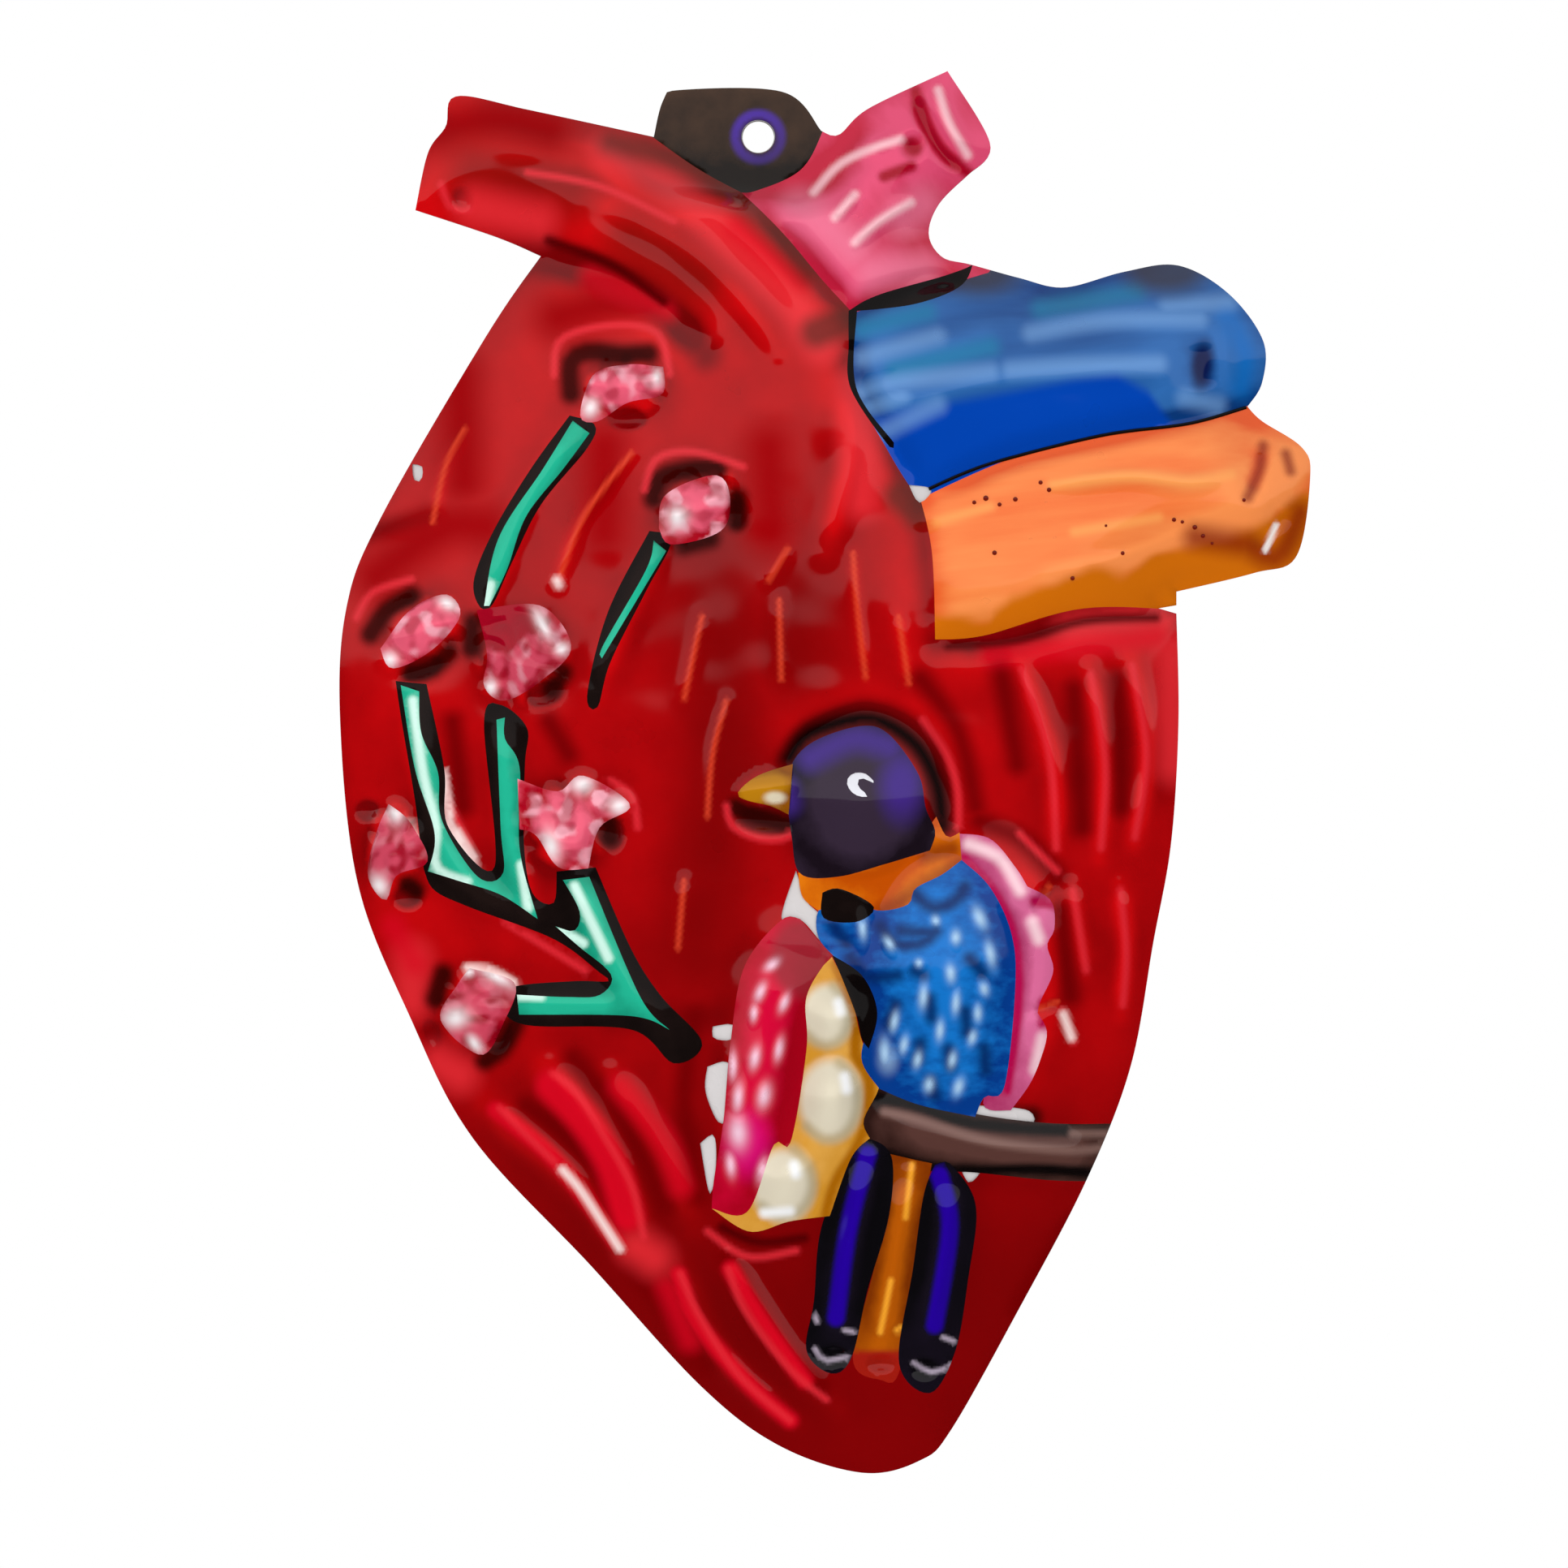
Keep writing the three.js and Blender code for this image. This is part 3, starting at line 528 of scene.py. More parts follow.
def film(name, points, step, **masks):
    """A lacquer film inside an outline, with points step mm apart, up to the films already laid.

    Each mask is a rule that gives 0 to 1 at any spot, and is kept as an attribute of that name.
    """
    ring = loop(points)
    lo, hi = ring.min(0) - 1, ring.max(0) + 1
    close = [r for r in painted if (r.max(0) > lo).all() and (r.min(0) < hi).all()]
    rings = [ring, outline, punched] + close
    (x0, z0), (x1, z1) = np.maximum(lo, (-42, -129)), np.minimum(hi, (55, 7))    # never past the sheet
    fill = lattice(x0, x1, z0, z1, step * FINE)
    fill = fill[inside(*fill.T, ring)]
    flat, faces = triangulate(rings, near_ring(fill, rings, step * 0.7))
    middle = flat[faces].mean(1)
    keep = inside(*middle.T, ring) & inside(*middle.T, outline)
    for r in [punched] + close:
        keep &= ~inside(*middle.T, r)
    painted.append(ring)
    piece = shell(name, flat, faces[keep],
                  lambda x, z, e: relief(x, z) + SHEET + np.where(e, EDGE, 1) * FILM,
                  lambda x, z, e: relief(x, z) + SHEET - BITE)
    x, _, z = corners(piece)
    masks = dict(crest=lambda x, z: 0.5 + sample(crest, x, z) / 0.8, **masks)
    for key, rule in masks.items():
        share = np.clip(rule(x, z), 0, 1)
        piece.data.attributes.new(key, "FLOAT", "POINT").data.foreach_set("value", share)
    return piece


def strokes(half, *lines, soft=0.0, most=1.0):
    """A rule that is at its most along some brush lines and fades out half a brush away from them.

    It stays level for the share soft of that way.
    """
    lines = [spline(line, 1) for line in lines]
    return lambda x, z: most * ease(half, half * soft, np.min([along(line, x, z)[0] for line in lines], 0))


def oval(cx, cz, rx, rz, start, full, most=1.0):
    """A rule for a soft spot, with start and full as shares of its two radii."""
    return lambda x, z: most * ease(start, full, np.hypot((x - cx) / rx, (z - cz) / rz))


def strongest(*rules):
    """A rule that takes the highest of several at each spot."""
    return lambda x, z: np.max([rule(x, z) for rule in rules], 0)


def lacquer(name, deep, bright, metallic=0.3, rough=0.3, patches=(), brush=(2.2, 2.2, 0), blot=0.9,
            coat=1.0):
    """Translucent gloss lacquer: deep where it pools, bright where it is thin on a crest.

    Patches name a mask and the colour laid there. The brush gives the length, width and lean of its
    streaks, and blot says how strongly they show.
    """
    made = Finish(name)
    long, wide, lean = brush
    along_brush = made.place((long * MM, wide * MM, wide * MM), "TEXTURE", (0, lean, 0))
    streak = made.node("ShaderNodeTexNoise", {}, {"Vector": along_brush, "Scale": 1.0, "Detail": 4.0})[0]
    high = (made.attribute("crest") * 1.6 - 0.3 + blot * (streak - 0.5)).clip()
    colour = made.mix(high, srgb(deep), srgb(bright))
    for key, shade in patches:
        colour = made.mix(made.attribute(key), colour, srgb(shade))
    smears = 0.15 * (made.noise(5.0) - 0.5)
    brushed = made.noise(3.0, 2.0) + 0.4 * made.noise(0.3, 2.0)
    made.set(Base_Color=colour, Metallic=metallic, Roughness=rough + smears, Specular_IOR_Level=0.0,
             Coat_Weight=coat, Coat_Roughness=0.06, Coat_IOR=1.5, Normal=made.bump(brushed, 0.008))
    return made


beak = film("bird_beak", [
    (3.3, -60, 1), (0, -61.1), (-1.9, -62.7), (-1.2, -63.4), (1.2, -64), (2.9, -64.8, 1)], 0.22,
    # Painted highlight: the pale cream patch on the beak.
    cream=oval(1.6, -63.2, 1.6, 0.9, 0.9, 0.3))
put(beak, lacquer("ochre beak lacquer", "905006", "c48410", patches=[("cream", "f0e2c4")]),
    "ochre_beak", "ochre_beak")
eye = film("bird_eye", [
    (10.9, -61.6, 1), (10.1, -60.9), (9, -60.9), (8.4, -61.6), (8.7, -62.5), (9.5, -63.05),
    (10.3, -63.1, 1), (10.2, -62.8), (9.6, -62.3), (9.4, -61.7), (9.8, -61.35), (10.9, -61.8, 1)], 0.12)
put(eye, lacquer("white enamel", "a8a8b0", "dcdce4", metallic=0.0), "pearl_breast")
head = film("bird_head", [
    (3.2, -60), (5.4, -57.8), (9.8, -56.4), (12.4, -57.2), (15.2, -61), (15.9, -64.2),
    (16.8, -66.4), (16.3, -68.2, 1), (12, -69.5), (7.5, -70.7), (4, -70.4), (3.2, -67), (2.8, -63)], 0.28,
    violet=strongest(
        oval(13.6, -62, 1, 1.6, 3.2, 0.5),
        strokes(2.4, [(5, -59.4), (9, -57.6), (12.4, -58.4)], [(2.4, -62.4), (2.6, -63.6)], most=0.9)))
put(head, lacquer("purple over black lacquer", "1a101a", "382a3c", patches=[("violet", "482c90")]),
    "purple_head", "purple_head")

# ---- The collar, the throat and the crescent beside the breast ----
# An orange film round the neck and two black ones, laid edge to edge under the head and down the
# breast's far side.
throat = film("throat_patch", [
    (6.1, -72.2), (7.6, -71.8), (10.2, -72.9), (11, -73.9), (9.2, -75), (6.2, -74.6)], 0.25)
black = lacquer("black enamel", "0a0606", "1c1210", metallic=0.1, rough=0.4, coat=0.45)
put(throat, black, "dark_throat_patch", "dark_throat_patch")
collar = film("collar", [
    (3.8, -70.3, 1), (7.5, -70), (12, -68.8), (15.6, -67.8), (16.1, -66.2), (16.9, -65, 1),
    (17.9, -66.9), (19.1, -66.5, 1), (19.3, -69.1, 1), (17.4, -70.5), (14.9, -71.8),
    (14.2, -73.3), (11.4, -73.9), (8.6, -73), (5.7, -73.9, 1), (4.2, -72.6)], 0.25,
    dark=strokes(1.6, [(12, -74), (14, -72.8), (16.4, -71.2), (19, -69.6)], [(16, -68.6), (18.4, -68)],
                 most=0.7))
put(collar, lacquer("orange collar lacquer", "c85000", "ff9414", patches=[("dark", "7c2c04")]),
    "orange_collar", "orange_collar")
crescent = film("dark_crescent", [
    (7, -78.1, 1), (9.9, -80.1), (11.3, -83.5), (10.5, -87, 1), (9.8, -86), (9.3, -83.8), (8, -80.4)], 0.25)
put(crescent, black, "dark_crescent", "dark_crescent")

# ---- The wings, breast and tail ----
# Blue and magenta wings stippled with a blunt point, a pink far wing, and a pearl-yellow breast of
# three round swellings. Three long tail feathers lie below the perch.
wing = film("blue_wing", [
    (19.3, -69.1, 1), (22, -71.7), (24, -76), (24.4, -81), (23.4, -90.6), (21.5, -91.6),
    (20.6, -93.5, 1), (15.2, -92.3), (11.5, -90.8, 1), (9.8, -88), (10.4, -84), (9, -80.1),
    (5.8, -76.6), (6.1, -73.4), (10, -73.2), (14, -72), (17, -69.8)], 0.28,
    # Painted highlights: pale marks on the stippled bumps, and a bright patch low on the wing.
    mark=strongest(lambda x, z: dabs(wing_marks, x, z) ** 1.9, oval(12.3, -88, 0.7, 1, 2.2, 0, 0.5)),
    dark=strokes(1.2, [(11.6, -75.4), (13, -77), (15.4, -77), (16.8, -75.8)],
                 [(8.8, -78.4), (10.4, -80.2), (13.2, -80)], [(13.6, -75.8), (16.4, -76)],
                 [(14.8, -79.6), (15.6, -80)], [(14.6, -72), (16.4, -73.6), (18.6, -73), (19.6, -71.6)],
                 [(7, -75.2), (8.4, -77)], [(20, -78.4), (21.2, -79.8)], [(13, -82.8), (12.4, -84.6)],
                 [(16.2, -82.2), (16.4, -84)], [(19.6, -83.4), (19.8, -85.4)], [(18, -87), (18.2, -88.6)],
                 [(15.4, -86.4), (15.2, -88)], [(16.4, -90), (16.8, -91.4)], [(21.4, -87), (21.6, -89)],
                 most=0.85))
put(wing, lacquer("blue wing lacquer", "043c90", "1478d0", brush=(1.6, 0.9, 0), blot=1.5,
                  patches=[("dark", "02205c"), ("mark", "b0d4f4")]),
    "blue_wing", "blue_wing")
far_wing = film("far_wing", [
    (18.9, -66.6, 1), (22, -67.1), (24.4, -69.8), (25.5, -71.6, 1), (27.8, -73), (28.1, -75.6),
    (27.4, -77.2), (28, -79.6), (26.8, -82.4), (26.5, -83.6, 1), (27.4, -85.4), (26.9, -87.8),
    (25.8, -90.4), (24, -92.9, 1), (21.4, -92.4), (22.4, -88), (22.4, -76), (18.6, -69.4)],
    0.28, crimson=strokes(0.8, [(19.5, -69), (22.6, -72.6), (24.3, -77), (24.6, -83), (23.6, -91)],
                          [(26.2, -73), (28.4, -73.4)], [(27, -82.6), (27, -84.6)], soft=0.2),
    # Painted highlights: near-white streaks on the wing.
    pale=strokes(1.1, [(20, -67.6), (23, -69), (24.8, -72)], [(26, -75), (26.6, -76.6)],
                 [(27, -86), (26.4, -89)], most=0.9))
put(far_wing, lacquer("pink far wing lacquer", "ac2c60", "e06c9c",
                      patches=[("crimson", "b8064c"), ("pale", "ffd8e0")]),
    "pink_far_wing", "pink_far_wing")
near_wing = film("near_wing", [
    (4, -74.7, 1), (2.2, -74.8), (-1.3, -79.2), (-2.6, -86.3), (-3.3, -94), (-4.2, -99.5),
    (-4.4, -102.2, 1), (-1, -102.5), (1.5, -96.1), (3.1, -95.8), (4.6, -87), (4.6, -82), (6.9, -78.1, 1)],
    # Pale marks: painted highlights on the stippled bumps. Dull greyish red at the top: a painted
    # reflection.
    0.28, mark=lambda x, z: dabs(near_marks, x, z) ** 1.5,
    dusky=oval(4.2, -78.4, 0.8, 1, 4.6, 2.8, 0.7), magenta=oval(-1, -96, 0.7, 1, 4.5, 1, 0.8))
put(near_wing, lacquer("magenta wing lacquer", "a80018", "dc0638", patches=[
    ("magenta", "e80a80"), ("dusky", "8c2830"), ("mark", "ffd0e4")]),
    "magenta_near_wing", "magenta_near_wing")
breast = film("breast", [
    (7, -78.3, 1), (8.8, -82), (9.9, -86.4), (11.4, -89), (11.4, -90.9), (10, -93.8), (10.6, -95.5, 1),
    (8.8, -97.4), (6.8, -102.9, 1), (3, -103.4), (-0.8, -104.4), (-4.4, -102.2, 1), (-1, -100),
    (1, -95), (3.6, -87), (3.8, -82)], 0.28,
    pearl=strongest(*[oval(*at, 1.1, 0.7) for at in (
        (6.6, -83.8, 2.7, 3.2), (6.9, -91.8, 3.3, 4.2), (2.4, -100, 3.2, 3.8))]),
    shade=strokes(1.0, *[[(cx + rx * math.cos(a), cz + rz * math.sin(a)) for a in np.linspace(-2.4, 1.2, 6)]
                         for cx, cz, rx, rz in ((6.4, -83.8, 2.3, 2.9), (6.7, -91.8, 2.8, 3.8),
                                                (2.4, -99.6, 2.8, 3.4))], most=0.6),
    glint=strokes(0.9, [(7.6, -82.6), (7.8, -83.4)], [(8.2, -89.6), (8.4, -90.8)],
                  [(3.4, -98), (3.6, -98.8)], [(0.6, -102.6), (3, -102.4)]),
    ochre=strokes(0.9, [(7.4, -79), (9.4, -84), (9.2, -87.4), (10.6, -90), (10, -95), (7.4, -99.6),
                        (6.4, -103)], soft=0.2))
put(breast, lacquer("pearl yellow lacquer", "d8962c", "f0b458", metallic=0.3, patches=[
    ("pearl", "e6dcc4"), ("shade", "b0a27c"), ("glint", "ffffff"), ("ochre", "b06804")]),
    "pearl_breast", "pearl_breast")
feather_paint = lacquer("purple in black lacquer", "0a080c", "16101c", metallic=0.3,
                        patches=[("violet", "2600a0"), ("shine", "c8b8cc")])
# Painted highlights: pale strokes near the feathers' tips and high on the middle one.
feather_shine = strokes(0.4, [(8.2, -113.8), (9.2, -114)], [(17.6, -114.6), (18.6, -115)],
                        [(5.4, -112.4), (5.6, -113)], [(8.4, -116.4), (6.4, -116.8), (5.4, -115.6)],
                        [(18.4, -117.4), (16.4, -118), (14.8, -117)], [(14.6, -98.6), (14.4, -100)],
                        most=0.8)
feathers = [
    ("left_feather", "tail_feather_left", [
        (9, -96.3), (10.7, -95.6), (12.7, -97.4), (12.4, -103), (10.4, -110), (8.9, -116.4), (7, -118),
        (4.6, -115.8), (5.3, -111), (6, -104)], [(10.4, -97), (8.6, -104), (7.4, -112.6)]),
    ("right_feather", "tail_feather_right", [
        (16.8, -98), (18.3, -98), (20.7, -102), (20, -109), (18.8, -116), (16.4, -120), (13.4, -117),
        (14.7, -108), (15.7, -101)], [(17.2, -99), (18.2, -104), (16.8, -113.4)])]
for name, node, ring, line in feathers:
    feather = film(name, ring, 0.28, shine=feather_shine, violet=lambda x, z, line=line: ease(
        1.1, 0.5, along(spline(line, 1), x, z)[0]))
    put(feather, feather_paint, "feather_purple", node)
feather = film("middle_feather", [
    (12.5, -97, 1), (16.5, -97.9, 1), (15, -106), (13.5, -117.6), (11.6, -118.6), (9, -116.5),
    (11.2, -107)],
    0.28, tip=lambda x, z: ease(-115.4, -116.2, z),
    # Painted highlights down the middle feather.
    shine=strokes(0.5, [(14.6, -98), (14, -103)], [(12.6, -109), (11.6, -114)],
                  [(13.2, -113.8), (13.8, -113.6)]))
put(feather, lacquer("orange feather lacquer", "843400", "c05c04",
                     patches=[("shine", "ffac30"), ("tip", "a81c10")]),
    "tail_feather_middle", "tail_feather_middle")
perch = film("perch", [
    (9.6, -94.4), (10.6, -90.4), (15, -91.6), (20.6, -93.2), (28, -94.2), (36, -94.4, 1),
    (34, -100, 1), (28, -99.7), (20.6, -98.8), (14, -98.4), (10, -96.6)], 0.3,
    dark=strokes(1.0, [(10.6, -91.6), (14.6, -92.2), (20, -94), (28, -94.8), (36, -95.2)],
                 [(10.4, -96.4), (15, -98), (20.5, -98.6), (27, -98.6), (34, -99.4)], soft=0.2),
    # Painted highlights: pale pinkish lines along the perch.
    worn=strokes(0.8, [(12, -93), (15, -93.7), (22, -95.8), (30, -96.8), (34, -96.6)],
                 [(30, -95.2), (35, -95.4)], most=0.8))
put(perch, lacquer("brown perch lacquer", "2e1814", "5c3a34",
                   patches=[("dark", "0c0606"), ("worn", "8c6a62")]),
    "brown_perch", "brown_perch")

# ---- Seven roses ----
# Each is a crumpled round swelling of the tin, pushed up from the back with a ball punch. It is
# brushed with pink gloss lacquer. Its raised stylus dots are laid near-white as painted highlights.
roses = [
    [(-16.9, -26.9), (-15.6, -23), (-12.5, -22.1), (-9, -22.3, 1), (-9.1, -24.9), (-12.5, -25.8),
     (-15.3, -27.5)],
    [(-9.4, -37.6), (-8.8, -34.5), (-4.2, -32.6), (-2.7, -34.4), (-3.4, -37.8), (-8.2, -39.2)],
    [(-36, -49), (-33, -45.3), (-29.6, -43.9), (-28.3, -46), (-31, -49.2), (-34.8, -50.9)],
    [(-26.7, -45.4), (-20.6, -45), (-17.7, -48.9), (-20.4, -52), (-24, -54), (-26, -52.6), (-25.7, -49.6)],
    [(-22.8, -61.4, 1), (-19, -62.6), (-16.6, -61.1), (-12.1, -63.9), (-15, -66), (-16.1, -69.9, 1),
     (-18.9, -69.8), (-21, -66.8), (-22.6, -66.2, 1)],
    [(-35.2, -63.8), (-33.2, -65.4), (-31.4, -69.2), (-34.4, -70.6), (-35.6, -73), (-37.3, -70.6),
     (-36.4, -66.6)],
    [(-27.4, -79.4), (-23.1, -80.8), (-24.2, -84.6), (-26.4, -87.7), (-30.3, -84.4), (-28.6, -81)]]
rose_paint = lacquer("rose lacquer", "b80820", "f4607c", brush=(1.2, 0.8, 0.4),
                     patches=[("petal", "ffb0c0"), ("pool", "a40420"), ("dot", "fff4f6")])
for i, ring in enumerate(roses):
    rose = film("rose_%d" % (i + 1), ring, 0.25,
                petal=lambda x, z, i=i: ease(0.1, 0.8, ripple(x, z, 3.2, 40 + i)) * (0.4 if i > 4 else 0.9),
                pool=lambda x, z, i=i: (
                    (i == 3) * ease(4, 2, np.hypot(x + 24.4, z + 46))
                    + ease(0.1, -0.9, ripple(x, z, 2.8, 60 + i)) * 0.55 + (0.4 if i in (3, 5, 6) else 0)),
                # Painted highlights: the raised stylus dots laid near-white.
                dot=lambda x, z: dabs(rose_dots, x, z))
    put(rose, rose_paint, "rose_pink", "rose_%d" % (i + 1))

# ---- Stems and branch ----
# Raised ridges of the tin, brushed with turquoise-green gloss lacquer down the middle of broad
# black enamel strokes, so that a black edge shows on both sides.
stem_paint = lacquer("green stem lacquer", "0c8468", "24bc98", patches=[("pale", "d8fff0")])
stems = [
    ("stem_1", "green_stem_1", [
        (-17.6, -27.4, 1), (-20.4, -32), (-24.6, -38.5), (-26, -45, 1), (-25.5, -45, 1), (-23.8, -41.5),
        (-22, -36.5), (-18.5, -32), (-16, -28.6, 1)]),
    ("stem_2", "green_stem_2", [
        (-9.9, -38.8, 1), (-10.6, -41.6), (-14.7, -48.8), (-14.8, -50, 1), (-12.4, -46), (-8.7, -39.8, 1)]),
    ("left_branch", "green_branch_left", [
        (-34, -52.5, 1), (-32.6, -60.5), (-30.7, -66.6), (-31.4, -70.2, 1), (-28.4, -71.1), (-24.4, -72.4),
        (-20.9, -74.7, 1), (-22.6, -68), (-22.6, -60.4), (-24, -57.6), (-24, -55.6, 1), (-24.8, -55.8, 1),
        (-24.4, -66), (-24.2, -70.4), (-26.6, -70.7), (-30, -65.4), (-30.4, -60.8), (-32, -57),
        (-32.2, -53.1, 1)]),
    ("right_branch", "green_branch_right", [
        (-19.2, -75.4, 1), (-17, -77.3), (-13.9, -80), (-15, -81.9), (-18, -82.1), (-22.9, -81.9, 1),
        (-22.7, -83.8, 1), (-12, -83.9), (-8.4, -85.2, 1), (-11.2, -82), (-16, -70.7, 1), (-18.5, -71, 1),
        (-16.9, -74), (-17.4, -75.8)])]
for name, node, ring in stems:
    # Painted highlights: pale streaks along the stems.
    stem = film(name, ring, 0.25, pale=strokes(
        0.75, [(-32.8, -54), (-31.8, -61), (-30.6, -66), (-30.6, -69.8), (-27.6, -71.2)],
        [(-17.4, -71.6), (-15.6, -75.4), (-14.2, -78.4)], [(-22.4, -69.6), (-21.8, -73.6)],
        [(-25.4, -43), (-25.9, -45)], [(-22.8, -82), (-20.6, -82)], [(-18.6, -75.8), (-16.6, -77)],
        soft=0.2))
    put(stem, stem_paint, "stem_green", node)
edges = [
    ("edge_1", "black_edge_1", [
        (-17.9, -26.9), (-15.5, -27.8), (-16.2, -30), (-20.6, -35.4), (-23.4, -41), (-25.2, -44.9),
        (-26.4, -45.1), (-27, -42.6), (-25.2, -38), (-21.6, -32)]),
    ("edge_2", "black_edge_2", [
        (-10.3, -37.9), (-8.2, -38.8), (-10.6, -43.6), (-14, -50.4), (-15.2, -54.6), (-16.2, -53.4),
        (-14.2, -45.5)]),
    ("edge_branch", "black_edge_branch", [
        (-34.5, -52.1, 1), (-33.9, -56), (-32.6, -63.6), (-31.8, -70, 1), (-30.8, -72), (-27.4, -73.6),
        (-19.4, -76.6), (-15, -79.8), (-14.2, -80.6), (-17.5, -80.6), (-23.4, -81.2), (-24.3, -83),
        (-22, -84.8), (-12, -85.2), (-8, -88.4), (-5.3, -86.4), (-9.2, -82), (-12, -77.6),
        (-15.4, -69.8, 1), (-19.1, -70.2, 1), (-19.4, -73.2), (-21.4, -72.2), (-22.2, -67.4), (-22.1, -60),
        (-21.9, -56.6), (-24.4, -54.4), (-26, -56), (-25, -69.8), (-29.4, -66), (-29.8, -60.4),
        (-31.5, -52.4, 1)])]
for name, node, ring in edges:
    put(film(name, ring, 0.28), black, "edge_black", node)

# ---- The tab ----
# The one flat part of the sheet, which the ornament hangs by. Black-brown lacquer covers it. The
# violet ring round the punched hole, stronger on one side, is a painted highlight in the black lacquer.
tab = film("tab", [
    (-10.4, 0.2, 1), (-10.4, 6, 1), (8, 6, 1), (6.1, 0.4), (4, -3.2), (-0.2, -5.2), (-1.6, -5.4, 1),
    (-6, -2.9)], 0.28,
    violet=lambda x, z: ease(0.75, 0.15, abs(np.hypot(x, z) - 2.15)) * (
        0.75 + 0.25 * np.cos(np.arctan2(z, x) - 2)))
put(tab, lacquer("black-brown tab lacquer", "160c06", "4a3222", patches=[("violet", "4a2a9c")]),
    "black_tab", "black_tab")

# ---- The vessels ----
# Three of the four cut-off vessels, pushed up in the tin and brushed along their length with pink,
# blue and orange gloss lacquer. A dark enamel seam fills the groove where they meet the heart.
seam = film("dark_seam", [
    (20.8, -11, 1), (19.5, -14.2), (15, -16.2), (9.4, -16.9, 1), (9.3, -24.2), (12.9, -29.5, 1),
    (12.4, -29.8), (8.8, -24.4), (8.6, -20), (8.6, -16.9, 1), (11.5, -15.3), (20, -12.5)], 0.28)
put(seam, black, "dark_seam", "dark_seam")
painted.append(loop([(14.3, -33.5), (16.5, -33.9), (15.3, -35.2)]))  # bare tin between the vessels
pink = film("pink_vessel", [
    (-1.6, -5.4, 1), (2.5, -9.6), (6, -13.8), (9, -17.1, 1), (22, -13, 1), (40, 8, 1), (5, 8, 1),
    (4, -3, 1)], 0.32,
    crimson=strokes(0.9, [(15, 4.4), (15.8, 1.6), (17.4, -1.2), (20.2, -3.6)], [(14.6, -0.8), (15, -1.2)],
                    [(12, -4), (14.6, -3)], soft=0.2),
    # Painted highlights: pale streaks on the vessel's ridges.
    pale=strokes(0.75, [(17.2, 4.4), (18.2, 1.2), (20, -1.8)], [(5.3, -5.4), (8.2, -2.4), (13.6, -0.4)],
                 [(7.3, -8), (9.2, -5.8)], [(9.2, -10.4), (11.4, -8.4), (14.6, -6.4)], most=0.9),
    # Painted reflection: lighter pink patches where the room shows in the gloss.
    flush=strokes(3.4, [(11, -13.4), (15.6, -12.8)], [(14, -8), (15.8, -6.6)], [(4, -7), (9, -11)],
                  most=0.7))
put(pink, lacquer("pink vessel lacquer", "c41c3c", "e85078", brush=(7, 2, 0.9),
                  patches=[("flush", "f47c9c"), ("crimson", "a80424"), ("pale", "ffc8d0")]),
    "pink_vessel", "pink_vessel")
blue = film("blue_vessel", [
    (9, -17.1, 1), (9.2, -24), (12.4, -30.4), (15.2, -34.9, 1), (24, -31), (33, -28.8), (41, -27.7),
    (46.9, -25.7, 1), (56, -20, 1), (44, -6, 1), (20, -10, 1)], 0.34,
    dark=lambda x, z: ease(1.0, 0.3, np.hypot((x - 42.3 - 0.1 * (z + 22)) / 1.5, (z + 22) / 3.4)) * 0.9,
    smoke=strongest(oval(21, -12.4, 1.5, 1, 4.2, 1.5, 0.8), oval(39, -12.2, 1.4, 1, 4.4, 1.6, 0.8)),
    teal=strokes(1.8, [(10, -18.6), (16, -17)], [(13, -22.6), (22, -20.4)], [(27, -16.6), (36, -15)],
                 most=0.8),
    # Painted highlights: pale streaks along the vessel's ridges.
    light=strokes(1.6, [(9.8, -26.4), (13.6, -25.2)], [(40.6, -25.2), (43.8, -25.8)],
                  [(9.6, -24.8), (13, -23.8), (22, -22.8)], [(24, -22.6), (30, -22.2), (38, -22)],
                  [(26, -19), (33, -17.8), (42, -17.6)], [(12, -28.4), (17, -26)],
                  [(39, -16.4), (45, -15.8)], [(10, -21.4), (17, -19.4)], most=0.55),
    # Painted reflection: the upper part is left greyer than this clearer blue below.
    deep=lambda x, z: ease(-0.8, 0.8, np.interp(
        x, [9, 13, 22, 30, 34, 37, 39.5], [-27.6, -26.6, -25, -23.5, -23, -24.6, -27.8]) - z),
    end=strokes(2.0, [(44.8, -17), (46.4, -21), (46, -24)], most=0.8))
put(blue, lacquer("blue vessel lacquer", "0a3c80", "306cb4", brush=(16, 1.8, -0.13), patches=[
    ("teal", "1478a8"), ("deep", "0044b4"), ("end", "0a70c8"), ("light", "78a8e0"), ("smoke", "38302c"),
    ("dark", "0a1044")]),
    "blue_vessel", "blue_vessel")
underside = ([16, 22, 24, 29, 35, 38, 41, 44, 47, 52],          # the ochre shows below this line
             [-46, -45.8, -44.2, -42.3, -41.4, -39.8, -39.2, -38.6, -37.4, -34])
